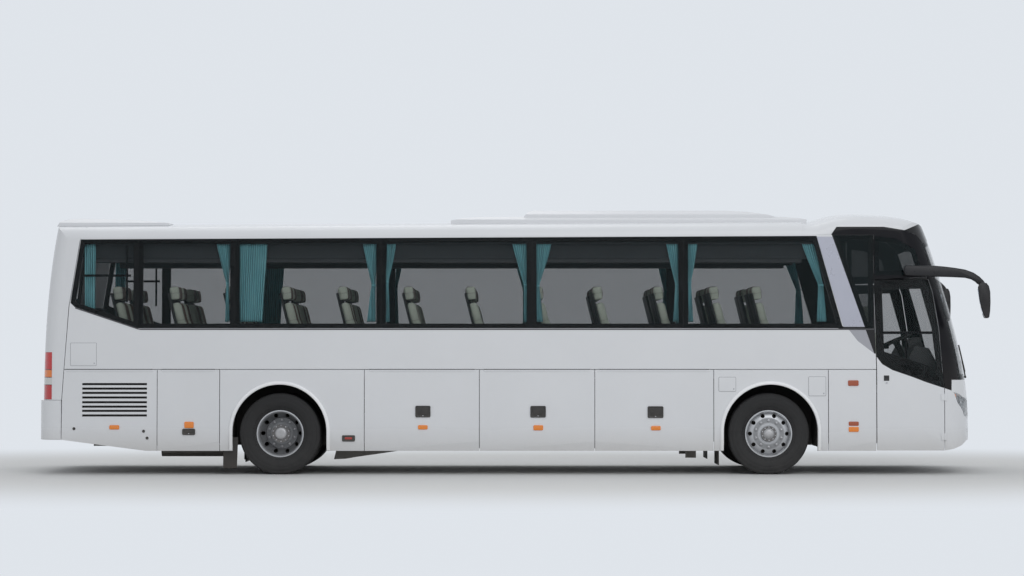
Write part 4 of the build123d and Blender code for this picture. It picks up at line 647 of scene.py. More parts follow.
frit = weathered("black ceramic border", (0.007, 0.007, 0.009), 0.24,
                 {"Specular IOR Level": 0.12}, mottle=(0.1, 3.0))
pillar_black = weathered("gloss black pillar", (0.008, 0.008, 0.010), 0.18,
                         {"Specular IOR Level": 0.16}, mottle=(0.1, 3.0), dust=(0.06, 1.0, 1.6))
finish(refined("front_pillars", "gloss_pillars", 0.002), pillar_black, "coach",
       "pillar_black")
fin_silver = weathered("silver fin paint", (0.42, 0.43, 0.50), 0.28,
                       {"Metallic": 0.25, "Coat Weight": 0.6}, mottle=(0.03, 2.0))
finish(refined("fin_posts", "slanted_fins", 0.002), fin_silver, "coach", "fin_silver")


# ---------------------------------------------------------------- belt strip and pane borders
# A slim anodised strip under the side glass over a black seal, and the bars of the small
# sliding sash in the rear pane.
def box(name, size, place=(0, 0, 0), turn=(0, 0, 0)):
    """A cuboid with its place in its mesh; the turn is in degrees."""
    fresh()
    bpy.ops.mesh.primitive_cube_add(size=1.0)
    piece = bpy.context.object
    piece.name = name
    piece.scale, piece.location = size, place
    piece.rotation_euler = [math.radians(angle) for angle in turn]
    bpy.ops.object.transform_apply(location=True, rotation=True, scale=True)
    return piece


def strip(name, start, end, off, wide, deep, material, body):
    """A straight strip between two points (x, z) of the side, thin across Y."""
    run = Vector(end) - Vector(start)
    middle = (Vector(start) + Vector(end)) / 2
    piece = box(name, (run.length, deep, wide), (middle.x, off, middle.y),
                (0.0, -math.degrees(math.atan2(run.y, run.x)), 0.0))
    return settle(rounded(piece, 0.002), material, body, "pillar_black")


BELT_Z = 1.850
strip_metal = weathered("dark anodised strip", (0.075, 0.075, 0.08), 0.38, {"Metallic": 0.6},
                        mottle=(0.1, 12.0))
# name, ends, distance off the middle, width, depth, material
STRIPS = (("belt_strip", (-4.700, BELT_Z - 0.012), (4.598, BELT_Z - 0.012), 1.2508, 0.016,
           0.006, strip_metal),
          ("belt_strip_rear", (-5.512, 2.108), (-4.705, BELT_Z - 0.011), 1.2508, 0.014, 0.006,
           strip_metal),
          ("sash_bar", (-5.400, 2.518), (-4.810, 2.518), 1.236, 0.030, 0.010, frit),
          ("sash_post", (-4.860, 2.180), (-4.860, 2.900), 1.236, 0.026, 0.010, frit))
for side, way in SIDES:
    for name, start, end, off, wide, deep, material in STRIPS:
        strip(f"{name}_{side}", start, end, way * off, wide, deep, material, "coach")


# ---------------------------------------------------------------- side lamps, handles and lids
# Amber marker lamps with a ribbed lens in a black base, recessed black paddle handles,
# slam latches, and the flush lids over the fuel and filler points.
def lens_material(name, colour, glow=0.0):
    """Ribbed, glossy lens plastic with a slight depth of colour."""
    mat, tree, shader = new_material(name, {
        "Roughness": 0.18, "Coat Weight": 0.7, "Emission Strength": glow,
        "Emission Color": (*colour, 1)})
    ribs = add_node(tree, "TexWave", {"Vector": add_node(tree, "TexCoord").outputs["Object"],
                                      "Scale": 40.0}).outputs["Fac"]
    feed(tree, shader, {
        "Base Color": mixed(tree, ribs, (*[c * 0.72 for c in colour], 1), (*colour, 1)),
        "Normal": relief(tree, ribs, 0.0008, 0.5)})
    return mat


def stepped(piece, test, inset, step):
    """The faces that pass a test inset, with what lies inside them moved by a step."""
    pick_faces(piece, test)
    bpy.ops.mesh.inset(thickness=inset)
    bpy.ops.transform.translate(value=step)
    return take(piece)


def plate(name, spread, form, way, material, body, slot):
    """A flat fitting on the side that fills (x0, x1, z0, z1) and has a stepped face: proud
    for a lens, sunk for a handle. Its form holds both sides off the middle, the step's inset
    and depth, the rounding of edges and of corners, and its growth beyond the spread."""
    x0, x1, z0, z1 = spread
    y0, y1, inset, step, edge, corner, grown = form
    piece = box(name, (x1 - x0 + 2 * grown, abs(y1 - y0), z1 - z0 + 2 * grown),
                ((x0 + x1) / 2, way * (y0 + y1) / 2, (z0 + z1) / 2))
    if corner:
        bpy.ops.object.mode_set(mode="EDIT")
        bpy.ops.mesh.select_mode(type="EDGE")
        bpy.ops.mesh.select_all(action="DESELECT")
        bpy.ops.object.mode_set(mode="OBJECT")
        points = piece.data.vertices
        for line in piece.data.edges:
            start, end = (points[i].co for i in line.vertices)
            line.select = abs(start.y - end.y) > 0.5 * abs(y1 - y0)
        bpy.ops.object.mode_set(mode="EDIT")
        bpy.ops.mesh.bevel(offset=corner, segments=5, affect="EDGES")
    stepped(piece, lambda centre, normal: normal.y * way > 0.9, inset, (0, way * step, 0))
    return settle(rounded(piece, edge, 3), material, body, slot)


amber = lens_material("amber lens", (0.85, 0.24, 0.02), 0.10)
deep_amber = lens_material("deep amber lens", (0.40, 0.075, 0.02), 0.04)
lamp_red = lens_material("red lens", (0.42, 0.03, 0.015), 0.05)
moulded_black = weathered("moulded black plastic", (0.013, 0.013, 0.014), 0.42,
                          mottle=(0.2, 20.0), dust=(0.2, 0.3, 1.2), grain=(700.0, 0.4))
lid_seal = weathered("grey lid seal", (0.27, 0.275, 0.29), 0.6, mottle=(0.15, 12.0))
LENS = (1.2480, 1.2600, 0.006, 0.002, 0.004, 0.014, 0.002)
POST_LENS = (1.2480, 1.2600, 0.007, 0.002, 0.004, 0.014, 0.0)
HANDLE = (1.2475, 1.2650, 0.012, -0.0038, 0.005, 0.016, 0.003)
PADDLE = (1.2600, 1.2630, 0.004, 0.0008, 0.002, 0.008, 0.0)
LOCK = (1.2600, 1.2625, 0.002, 0.0006, 0.001, 0.0, 0.0)
ARCH_BASE = (1.2470, 1.2620, 0.010, -0.0025, 0.005, 0.014, 0.0)
ARCH_LENS = (1.2590, 1.2622, 0.003, 0.0008, 0.002, 0.006, 0.0)
# body, handle and marker; each covers its boss in the panel
FITTINGS = (
    ("engine_flap", None, (-5.071, -4.948, 0.573, 0.624)),
    ("service_flap", (-4.148, -3.990, 0.504, 0.577), (-4.123, -4.007, 0.590, 0.667)),
    ("luggage_door_1", (-1.201, -1.016, 0.728, 0.867), (-1.169, -1.050, 0.573, 0.624)),
    ("luggage_door_2", (0.253, 0.443, 0.725, 0.865), (0.290, 0.410, 0.562, 0.624)),
    ("luggage_door_3", (1.736, 1.929, 0.719, 0.861), (1.777, 1.896, 0.562, 0.614)))
# lamps of the fixed panels: red over orange ahead of the front wheel, and low behind the
# rear wheel a small red lens in a black housing
FIXED_LAMPS = (
    ("marker_post_top", (4.267, 4.402, 1.122, 1.193), POST_LENS, deep_amber, "tail_lamp_red"),
    ("marker_post_low", (4.274, 4.402, 0.541, 0.606), POST_LENS, amber, "tail_lamp_red"),
    # the reflector shares the deep amber lens and its faint glow: painted light, as a reflector
    # gives none
    ("reflector_post", (4.274, 4.402, 0.616, 0.672), POST_LENS, deep_amber, "tail_lamp_red"),
    ("base_rear_arch", (-2.131, -1.967, 0.419, 0.498), ARCH_BASE, moulded_black,
     "mirror_black"),
    ("marker_rear_arch", (-2.095, -2.003, 0.446, 0.474), ARCH_LENS, lamp_red,
     "tail_lamp_red"))
# round slam latches of the engine flap
LATCHES = ((-5.520, 0.581), (-4.640, 0.549), (-4.595, 0.462))
KNOB = ((0.0, -0.004), (0.019, -0.004), (0.019, 0.002), (0.015, 0.006), (0.011, 0.003),
        (0.0, 0.003))
# flush lids with a finger lock: one over the filler aft, two near the front wheel
LIDS = (("filler_lid", (-5.567, -5.242, 1.378, 1.663), 1.2522),
        ("air_lid", (2.636, 2.847, 1.054, 1.230), 1.2540),
        ("service_lid", (3.772, 3.986, 0.997, 1.235), 1.2540))
LID_BACK = 1.2440
for side, way in SIDES:
    for panel, handle, marker in FITTINGS:
        body = f"{panel}_{side}"
        plate(f"marker_{body}", marker, LENS, way, amber, body, "tail_lamp_red")
        if handle:
            x0, x1, z0, z1 = handle
            middle = (x0 + x1) / 2
            plate(f"handle_{body}", handle, HANDLE, way, moulded_black, body, "mirror_black")
            plate(f"paddle_{body}", (x0 + 0.024, x1 - 0.024, z0 + 0.026, z1 - 0.016), PADDLE,
                  way, moulded_black, body, "mirror_black")
            plate(f"lock_{body}", (middle - 0.008, middle + 0.008, z0 + 0.012, z0 + 0.022),
                  LOCK, way, nut_steel, body, "rim_silver")
    for name, spread, form, material, slot in FIXED_LAMPS:
        plate(f"{name}_{side}", spread, form, way, material, "coach", slot)
    for i, (x, z) in enumerate(LATCHES):
        knob = turned(f"latch_{i}_{side}", KNOB, (x, way * 1.2510, z), 28, (0, way, 0))
        settle(knob, moulded_black, f"engine_flap_{side}", "mirror_black")
    for name, spread, deep in LIDS:
        x0, x1, z0, z1 = spread
        plate(f"{name}_seal_{side}", spread,
              (LID_BACK, deep - 0.0008, 0.002, -0.0002, 0.0005, 0.013, 0.004), way, lid_seal,
              "coach", "pillar_black")
        plate(f"{name}_{side}", spread, (LID_BACK, deep, 0.004, 0.0006, 0.0015, 0.010, 0.0),
              way, plain_white, "coach", "body_white")
        plate(f"{name}_lock_{side}", (x1 - 0.034, x1 - 0.016, z0 + 0.020, z0 + 0.038),
              (1.2480, deep + 0.0035, 0.004, -0.001, 0.002, 0.0, 0.0), way, nut_steel,
              "coach", "rim_silver")


# ---------------------------------------------------------------- grilles and door fittings
# Black mesh and slanted blades back the louvres of both engine flaps. The driver's door
# has a sliding sash rail and a sunk pull over its lock; a steel arm carries the entrance
# door.
give("door_arm", weathered("door arm steel", (0.20, 0.20, 0.21), 0.4, {"Metallic": 0.8},
                           mottle=(0.15, 20.0), dust=(0.1, 0.25, 0.9)))
BLADE_HEIGHTS = (0.748, 0.806, 0.859, 0.915, 0.975, 1.033, 1.087, 1.144)
for side, way in SIDES:
    plate(f"grille_mesh_{side}", (-5.445, -4.575, 0.715, 1.175),
          (1.1960, 1.2085, 0.012, -0.004, 0.002, 0.0, 0.0), way, moulded_black,
          f"engine_flap_{side}", "mirror_black")
    blades = [box("blade", (0.826, 0.026, 0.0035), (-5.009, way * 1.2230, z - 0.004),
                  (way * -32.0, 0.0, 0.0)) for z in BLADE_HEIGHTS]
    settle(joined(blades, f"louvre_blades_{side}"), moulded_black, f"engine_flap_{side}",
           "mirror_black")
DRIVER_SIDE, DOOR_Y = -1.0, -1.2380
for name, spread, form in (
        ("door_pull", (4.722, 4.790, 1.186, 1.254),
         (1.2460, 1.2560, 0.010, -0.0035, 0.004, 0.0, 0.0)),
        ("door_pull_grip", (4.736, 4.776, 1.222, 1.244),
         (1.2500, 1.2575, 0.004, 0.001, 0.002, 0.0, 0.0))):
    plate(name, spread, form, DRIVER_SIDE, moulded_black, "driver_door", "mirror_black")
settle(turned("door_lock", [(0.0, -0.004), (0.013, -0.004), (0.013, 0.002), (0.010, 0.0045),
                            (0.0, 0.0045)], (4.757, -1.2500, 1.158), 28, (0, -1, 0)),
       nut_steel, "driver_door", "rim_silver")
for name, start, end, wide, deep in (
        ("door_sash_rail", (4.716, 1.795), (5.335, 1.795), 0.034, 0.012),
        ("door_sash_post", (5.010, 1.300), (5.010, 1.790), 0.018, 0.010)):
    strip(name, start, end, DOOR_Y, wide, deep, frit, "driver_door")


# ---------------------------------------------------------------- splash guards
# Rubber sheet screwed under the wheel houses: a turned-in wing beside each rear mud flap,
# short guards ahead of the wheels down to the foot of the skirt, and hanging liners that
# lengthen the inner walls on both sides of the axles.
LINER = (0.5560, 0.5620, 0.030, 0.0015, 0.0015, 0.0, 0.0)
WING = (1.1790, 1.1860, 0.010, 0.0010, 0.002, 0.0, 0.0)
for side, way in SIDES:
    for name, x in (("front", FRONT_AXLE), ("rear", REAR_AXLE)):
        for end, x0, x1 in (("aft", x - 0.625, x - 0.170), ("fore", x + 0.170, x + 0.625)):
            plate(f"liner_{name}_{end}_{side}", (x0, x1, 0.350, 0.800), LINER, way,
                  house_black, "coach", "wheel_house_black")
    wing = plate(f"flap_wing_{side}", (-3.640, -3.452, 0.082, 0.470), WING, way, house_black,
                 "coach", "wheel_house_black")
    pick_faces(wing, lambda centre, normal: centre.z < 0.10)
    bpy.ops.transform.resize(value=(0.93, 1.0, 1.0), center_override=(-3.640, 0, 0.082))
    for name, x in (("front", 3.892), ("rear", -2.298)):
        guard = box(f"splash_guard_{name}_{side}", (0.008, 0.610, 0.125),
                    (x, way * 0.885, 0.410), (0.0, -6.0, 0.0))
        settle(rounded(guard, 0.002), house_black, "coach", "wheel_house_black")


# ---------------------------------------------------------------- tail lamps
# Tall moulded lens strips that wrap the rear corners: red, with a clear and an amber
# section in them, each over its own reflector box. They are screwed on from behind.
tail_lens, tree, shader = new_material("tail lamp lens", {"Roughness": 0.16,
                                                          "Coat Weight": 0.8})
place = add_node(tree, "TexCoord").outputs["Object"]
bands = add_node(tree, "ValToRGB", {"Fac": ranged(tree, split(tree, place)["Z"], 0.95,
                                                  1.548)})
bands.color_ramp.interpolation = "CONSTANT"
RED_LENS, CLEAR_LENS, AMBER_LENS = (0.50, 0.006, 0.008), (0.62, 0.62, 0.60), (0.80, 0.20, 0.02)
LENS_JOINT = (0.12, 0.004, 0.005)
LAMP_BANDS = ((0.0, RED_LENS), (0.30, LENS_JOINT), (0.315, CLEAR_LENS), (0.46, LENS_JOINT),
              (0.475, AMBER_LENS), (0.62, LENS_JOINT), (0.635, (0.55, 0.006, 0.008)))
while len(bands.color_ramp.elements) < len(LAMP_BANDS):
    bands.color_ramp.elements.new(0.5)
for element, (spot, colour) in zip(bands.color_ramp.elements, LAMP_BANDS):
    element.position = spot
    element.color = (*colour, 1)
ribs = add_node(tree, "TexWave", {"Vector": place, "Scale": 36.0}, bands_direction="Y")
feed(tree, shader, {"Base Color": bands.outputs["Color"],
                    "Normal": relief(tree, ribs.outputs["Fac"], 0.001, 0.5)})
finish(refined("tail_lamps", "tail_lamp_lenses", 0.006), tail_lens, "coach",
       "tail_lamp_red")


# ---------------------------------------------------------------- headlamps and fog lamps
# Clear moulded lenses flush with the front panel. Behind each one, a satin black housing
# holds two bright reflector bowls and an amber turn lamp; a small round fog lamp sits low.
def front_skin(y, z):
    """How far forward the front surface stands at a distance off the middle and a height."""
    rows = ((0.250, 5.955), (0.870, 5.950), (1.258, 5.911), (2.225, 5.683), (2.830, 5.496))
    for (z0, x0), (z1, x1) in zip(rows, rows[1:]):
        if z0 <= z <= z1:
            tip = x0 + (x1 - x0) * (z - z0) / (z1 - z0)
    bow, corner = 3.5, 0.38
    side = 1.25 - corner
    base = tip - bow
    if y <= bow * side / (bow - corner):
        return base + math.sqrt(bow ** 2 - y ** 2)
    return (base + math.sqrt((bow - corner) ** 2 - side ** 2)
            + math.sqrt(max(0.0, corner ** 2 - (y - side) ** 2)))


clear_lens = glazing("clear lamp lens", (0.62, 0.66, 0.70), 0.30)
finish(refined("headlamps", "headlamp_lenses", 0.003), clear_lens, "coach",
       "headlamp_clear")
reflector = weathered("bright reflector", (0.80, 0.80, 0.81), 0.12, {"Metallic": 1.0},
                      mottle=(0.04, 20.0))
BOWL = ((0.0, -0.060), (0.020, -0.058), (0.045, -0.044), (0.062, -0.022), (0.072, 0.004),
        (0.076, 0.006), (0.080, 0.002), (0.070, -0.026), (0.050, -0.052), (0.0, -0.068))
BULB = ((0.0, -0.012), (0.006, -0.014), (0.009, -0.022), (0.008, -0.040), (0.006, -0.060),
        (0.0, -0.062))
# name, distance off the middle, height, size, depth behind the skin
BOWLS = (("main", 0.860, 0.835, 1.0, 0.062), ("dip", 1.015, 0.900, 0.92, 0.070),
         ("turn", 1.120, 0.985, 0.60, 0.075), ("fog", 0.900, 0.520, 0.66, 0.060))
for side, way in SIDES:
    for name, y, z, size, deep in BOWLS:
        for part, profile, steps, material in (
                ("bowl", BOWL, 48, amber if name == "turn" else reflector),
                ("bulb", BULB, 24, clear_lens)):
            piece = turned(f"{part}_{name}_{side}", [(r * size, v * size) for r, v in profile],
                           (front_skin(y, z) - deep, way * y, z), steps, (1, 0, 0), (0, 0, 1))
            settle(piece, material, "coach", "headlamp_clear")
    # black housing behind each lens, as a shallow box open to the front
    tray = box(f"lamp_housing_{side}", (0.036, 0.400, 0.290), (5.738, way * 0.915, 0.860),
               (0.0, 0.0, way * 17.0))
    stepped(tray, lambda centre, normal: normal.x > 0.5, 0.010, (-0.028, 0, 0))
    settle(tray, moulded_black, "coach", "mirror_black")


# ---------------------------------------------------------------- front panel trim
# A black mesh behind the slots of the lower air intake, and a blank number plate at each
# end of the coach.
fresh()
ACROSS, UP, WIRE, PITCH = 1.26, 0.20, 0.004, 0.025
bpy.ops.mesh.primitive_grid_add(x_subdivisions=int(ACROSS / PITCH),
                                y_subdivisions=int(UP / PITCH), size=1.0)
grid = bpy.context.object
grid.name = "intake_mesh"
grid.scale = (ACROSS, UP, 1.0)
grid.rotation_euler = (math.radians(90.0), 0.0, math.radians(90.0))
grid.location = (5.850, 0.0, 0.560)
bpy.ops.object.transform_apply(location=True, rotation=True, scale=True)
wires = grid.modifiers.new("wires", "WIREFRAME")
wires.thickness = WIRE
bpy.ops.object.modifier_apply(modifier="wires")
settle(grid, moulded_black, "coach", "pillar_black")
plate_white = weathered("blank plate", (0.70, 0.70, 0.68), 0.4, mottle=(0.03, 30.0))
for name, x, z, out in (("front", 5.9455, 0.740, 1.0), ("rear", -6.0340, 0.690, -1.0)):
    number = box(f"number_plate_{name}", (0.006, 0.52, 0.115), (x, 0.0, z))
    stepped(number, lambda centre, normal: normal.x * out > 0.9, 0.006,
            (-out * 0.0012, 0, 0))
    settle(rounded(number, 0.0012, 1), plate_white, "coach", "body_white")


# ---------------------------------------------------------------- mirrors and wipers
# Black moulded mirror heads on swept arms that bolt to the front pillars, each head with
# a flat glass above a small convex one, and two wipers that park across the screen.
def cut_out(name, outline, y0, y1, bevel, segments=3, narrowing=1.0):
    """A moulding with this side outline (x, z), from y0 to y1, its edges rounded. Its far
    side can be shorter, drawn in towards the front."""
    obj = traced(name, [Vector((x, y0, z)) for x, z in outline])
    bpy.ops.mesh.edge_face_add()
    bpy.ops.mesh.extrude_region_move(TRANSFORM_OT_translate={"value": (0, y1 - y0, 0)})
    front = max(x for x, z in outline)
    bpy.ops.transform.resize(value=(narrowing, 1.0, 1.0), center_override=(front, y1, 0.0))
    return rounded(sealed(obj), bevel, segments, 50.0)


mirror_black = weathered("mirror housing black", (0.010, 0.010, 0.012), 0.30,
                         {"Specular IOR Level": 0.35}, mottle=(0.12, 8.0),
                         dust=(0.08, 1.5, 2.6), grain=(600.0, 0.2))
mirror_face = weathered("anti-dazzle mirror", (0.34, 0.37, 0.42), 0.03, {"Metallic": 1.0},
                        mottle=(0.02, 6.0))
ARM = ((4.963, 2.577), (4.968, 2.620), (4.986, 2.640), (5.120, 2.642), (5.355, 2.640),
       (5.483, 2.629), (5.612, 2.613), (5.741, 2.591), (5.844, 2.553), (5.921, 2.502),
       (5.973, 2.450), (6.006, 2.397), (5.960, 2.372), (5.893, 2.412), (5.868, 2.436),
       (5.818, 2.466), (5.741, 2.486), (5.561, 2.495), (5.355, 2.501), (5.120, 2.506),
       (4.990, 2.513), (4.970, 2.535))
FOOT = ((4.985, 2.520), (4.985, 2.630), (5.075, 2.630), (5.075, 2.520))
HEAD = ((5.872, 2.360), (5.880, 2.307), (5.892, 2.204), (5.916, 2.101), (5.942, 2.024),
        (5.968, 1.980), (5.998, 1.970), (6.019, 1.990), (6.030, 2.063), (6.036, 2.178),
        (6.033, 2.307), (6.016, 2.380), (5.985, 2.418), (5.925, 2.424), (5.886, 2.402))
# name, outline, sides off the middle, bevel and its segments, narrowing: the head narrows
# inwards, so that its back and its glasses face the driver
MOULDINGS = (("arm", ARM, 1.300, 1.362, 0.020, 4, 1.0),
             ("foot", FOOT, 1.246, 1.312, 0.008, 3, 1.0),
             ("head", HEAD, 1.474, 1.236, 0.026, 4, 0.667))
# name, middle (x, z), how tall, degrees it leans from upright and turns inwards
GLASSES = (("flat", 5.9120, 2.250, 0.190, -8.4, 11.9),
           ("round", 5.9473, 2.070, 0.080, -18.0, 8.8))
GLASS_Y = 1.357
for side, way in SIDES:
    for name, outline, y0, y1, bevel, segments, narrowing in MOULDINGS:
        piece = cut_out(f"mirror_{name}_{side}", outline, way * y0, way * y1, bevel, segments,
                        narrowing)
        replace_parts(settle(piece, mirror_black, "coach", "mirror_black"), "mirrors")
    for name, x, z, tall, lean, inwards in GLASSES:
        face = box(f"mirror_{name}_{side}", (0.012, 0.180, tall))
        stepped(face, lambda centre, normal: normal.x < -0.9, 0.006, (0.0012, 0, 0))
        rounded(face, 0.0015)
        face.rotation_euler = (0.0, math.radians(lean), way * math.radians(inwards))
        face.location = (x, way * GLASS_Y, z)
        settle(face, mirror_face, "coach", "mirror_black")
wiper_black = weathered("wiper black", (0.012, 0.012, 0.012), 0.5, mottle=(0.2, 15.0),
                        dust=(0.15, 1.2, 1.8))
finish(refined("wipers", "wiper_arms", 0.0), wiper_black, "coach", "wiper_black")


# ---------------------------------------------------------------- roof equipment
# A glass-fibre air-conditioning housing with six fan wells under wire guards, and a
# shallow fairing at the rear, both bolted through the roof skin and painted body white.
FAN_X, FAN_Y, FAN_Z, GUARD_Z = (0.760, 1.320, 1.880), (-0.380, 0.380), 3.354, 3.3705
BLADES, GUARD_WIRE = 7, 0.0025
for node in ("roof_air_unit", "roof_fairing"):
    finish(refined(node, f"cover_{node}", 0.010, 25.0), plain_white, "coach", "body_white")
for i, j, x, y in ((i, j, x, y) for i, x in enumerate(FAN_X) for j, y in enumerate(FAN_Y)):
    blades = []
    for k in range(BLADES):
        blade = box("blade", (0.130, 0.070, 0.003), (0.125, 0.0, 0.0), (12.0, 0.0, 0.0))
        blade.data.transform(Matrix.Translation((x, y, FAN_Z))
                             @ Matrix.Rotation(2 * math.pi * k / BLADES, 4, "Z"))
        blades.append(blade)
    settle(joined(blades, f"fan_{i}_{j}"), moulded_black, "coach", "mirror_black")
    middle, guards = (x, y, GUARD_Z), []
    for radius in (0.050, 0.090, 0.130, 0.170, 0.200):
        fresh()
        bpy.ops.mesh.primitive_torus_add(location=middle, major_radius=radius,
                                         minor_radius=GUARD_WIRE, major_segments=40,
                                         minor_segments=6)
        guards.append(bpy.context.object)
    for k in range(4):
        fresh()
        bpy.ops.mesh.primitive_cylinder_add(vertices=6, radius=GUARD_WIRE, depth=0.404,
                                            location=middle,
                                            rotation=(math.pi / 2, 0.0, math.pi * k / 4))
        guards.append(bpy.context.object)
    settle(joined(guards, f"fan_guard_{i}_{j}"), strip_metal, "coach", "rim_silver")


# ---------------------------------------------------------------- passenger seats
# Twelve rows of reclining double seats: foam backs, headrests and cushions sewn in sage
# moquette with a brown centre panel, on moulded back shells. Steel legs bolt to the floor.
seat_cloth, tree, shader = new_material("sage and brown moquette", {
    "Roughness": 0.95, "Sheen Weight": 0.35, "Sheen Roughness": 0.5})
on_pad = add_node(tree, "Attribute", attribute_name="pad").outputs["Vector"]
axes = split(tree, on_pad)
across = maths(tree, "ABSOLUTE", axes["Y"])
speck = add_node(tree, "TexVoronoi", {"Vector": on_pad, "Scale": 160.0}).outputs["Distance"]
moquette = mixed(tree, ranged(tree, across, 0.124, 0.121), (0.560, 0.620, 0.530, 1),
                 mixed(tree, speck, (0.190, 0.105, 0.068, 1), (0.085, 0.050, 0.036, 1)))
# sewn lines: down both sides of the centre panel and across it every 14 cm
sewn = maths(tree, "MINIMUM",
             maths(tree, "ABSOLUTE", maths(tree, "SUBTRACT", across, 0.1225)),
             maths(tree, "PINGPONG", axes["Z"], 0.14))
raised = maths(tree, "MULTIPLY_ADD", noise(tree, on_pad, 900.0, 3.0), 0.12,
               ranged(tree, sewn, 0.001, 0.006))
# the moquette is darkened along the sewn lines: painted shade in the seams
feed(tree, shader, {
    "Base Color": vectors(tree, "SCALE", moquette,
                          ranged(tree, sewn, 0.0005, 0.003, 0.35, 1.0)),
    "Normal": relief(tree, raised, 0.004, 0.8)})
shell_black = weathered("seat shell plastic", (0.024, 0.026, 0.028), 0.55, mottle=(0.15, 14.0),
                        grain=(500.0, 0.4))
seat_steel = weathered("seat frame grey", (0.10, 0.105, 0.11), 0.45, {"Metallic": 0.5},
                       mottle=(0.12, 20.0))
PRESSURE, LAST_STEP, FARTHEST, KEPT_FACES, FOAM_FILL = 4.0, 20, 0.014, 0.45, 0.7


def blow_up(pad):
    """The pad swollen by a short cloth simulation, with no point moved too far."""
    before = [v.co.copy() for v in pad.data.vertices]
    cloth = pad.modifiers.new("cloth", "CLOTH")
    cloth.settings.use_pressure = True
    cloth.settings.uniform_pressure_force = PRESSURE
    cloth.settings.effector_weights.gravity = 0.0
    for step in range(1, LAST_STEP + 1):
        bpy.context.scene.frame_set(step)
    blown = pad.evaluated_get(bpy.context.evaluated_depsgraph_get())
    after = [v.co.copy() for v in blown.data.vertices]
    pad.modifiers.remove(cloth)
    for vertex, old, new in zip(pad.data.vertices, before, after):
        move = new - old
        vertex.co = old + move * min(1.0, FARTHEST / max(move.length, 1e-9))
    bpy.context.scene.frame_set(1)


def sewn_pad(name, size, pushes, voxel=0.022):
    """A foam pad: a block shaped by pushes of its faces, blown up as cloth, smoothed, with
    its place kept on it."""
    fresh()
    bpy.ops.mesh.primitive_cube_add(size=1.0)
    pad = bpy.context.object
    pad.name = name
    pad.scale = size
    bpy.ops.object.transform_apply(location=False, rotation=False, scale=True)
    bpy.ops.object.mode_set(mode="EDIT")
    bpy.ops.mesh.subdivide(number_cuts=5)
    for test, move in pushes:
        bpy.ops.mesh.select_all(action="DESELECT")
        bpy.ops.object.mode_set(mode="OBJECT")
        for face in pad.data.polygons:
            face.select = test(face.center, face.normal)
        bpy.ops.object.mode_set(mode="EDIT")
        bpy.ops.transform.translate(value=move)
    take(pad)
    remesh = pad.modifiers.new("remesh", "REMESH")
    remesh.mode = "VOXEL"
    remesh.voxel_size = voxel
    bpy.ops.object.modifier_apply(modifier="remesh")
    blow_up(pad)
    smooth = pad.modifiers.new("smooth", "SUBSURF")
    smooth.levels = smooth.render_levels = 1
    bpy.ops.object.modifier_apply(modifier="smooth")
    lighter = pad.modifiers.new("lighter", "DECIMATE")
    lighter.ratio = KEPT_FACES
    bpy.ops.object.modifier_apply(modifier="lighter")
    bpy.ops.object.shade_smooth()
    kept = pad.data.attributes.new("pad", "FLOAT_VECTOR", "POINT")
    for vertex, value in zip(pad.data.vertices, kept.data):
        value.vector = vertex.co
    pad.data.materials.append(seat_cloth)
    return pad


def leaning(degrees):
    """A turn about Y."""
    return Matrix.Rotation(math.radians(degrees), 4, "Y")


LEAN, SEAT_WIDTH = -14.0, 0.4475
# side bolsters forward, the lower end thicker for the loin
BACK_PUSHES = ((lambda c, n: n.x > 0.5 and abs(c.y) > 0.13, (0.026, 0, 0)),
               (lambda c, n: n.x > 0.5 and c.z < -0.06 and abs(c.y) < 0.13, (0.014, 0, 0)))
# ears forward, the top fuller
HEAD_PUSHES = ((lambda c, n: n.x > 0.5 and abs(c.y) > 0.08, (0.016, 0, 0)),
               (lambda c, n: n.z > 0.5 and abs(c.y) < 0.07, (0, 0, 0.010)))
# side bolsters up and the front edge rounded down
CUSHION_PUSHES = ((lambda c, n: n.z > 0.5 and abs(c.y) > 0.13, (0, 0, 0.018)),
                  (lambda c, n: n.z > 0.5 and c.x > 0.16, (0, 0, -0.010)))
pads = (
    (sewn_pad("seat_back", (0.060, 0.395, 0.480), BACK_PUSHES),
     Matrix.Translation((-0.098, 0, 0.700)) @ leaning(LEAN)),
    (sewn_pad("headrest", (0.098, 0.300, 0.165), HEAD_PUSHES, 0.018),
     Matrix.Translation((-0.172, 0, 1.048)) @ leaning(LEAN * 0.5)),
    (sewn_pad("cushion", (0.430, 0.400, 0.078), CUSHION_PUSHES),
     Matrix.Translation((0.205, 0, 0.392))))


def bar(size, place, lean=0.0, rounding=0.010, segments=2):
    """A rounded moulding or steel section of the seat's frame; it leans by degrees."""
    part = rounded(box("bar", size, place, (0.0, lean, 0.0)), rounding, segments)
    part.data.materials.append(shell_black if rounding > 0.007 else seat_steel)
    return part


def united(parts, name):
    """The pieces joined, with smooth faces."""
    whole = joined(parts, name)
    bpy.ops.object.shade_smooth_by_angle(angle=math.radians(35.0))
    return whole


def place_pad(pad, name, matrix, node):
    """A copy of a seat pad, standing in for part of a node."""
    soft = copied(pad, name, matrix)
    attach(soft, "coach")
    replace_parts(soft, node)


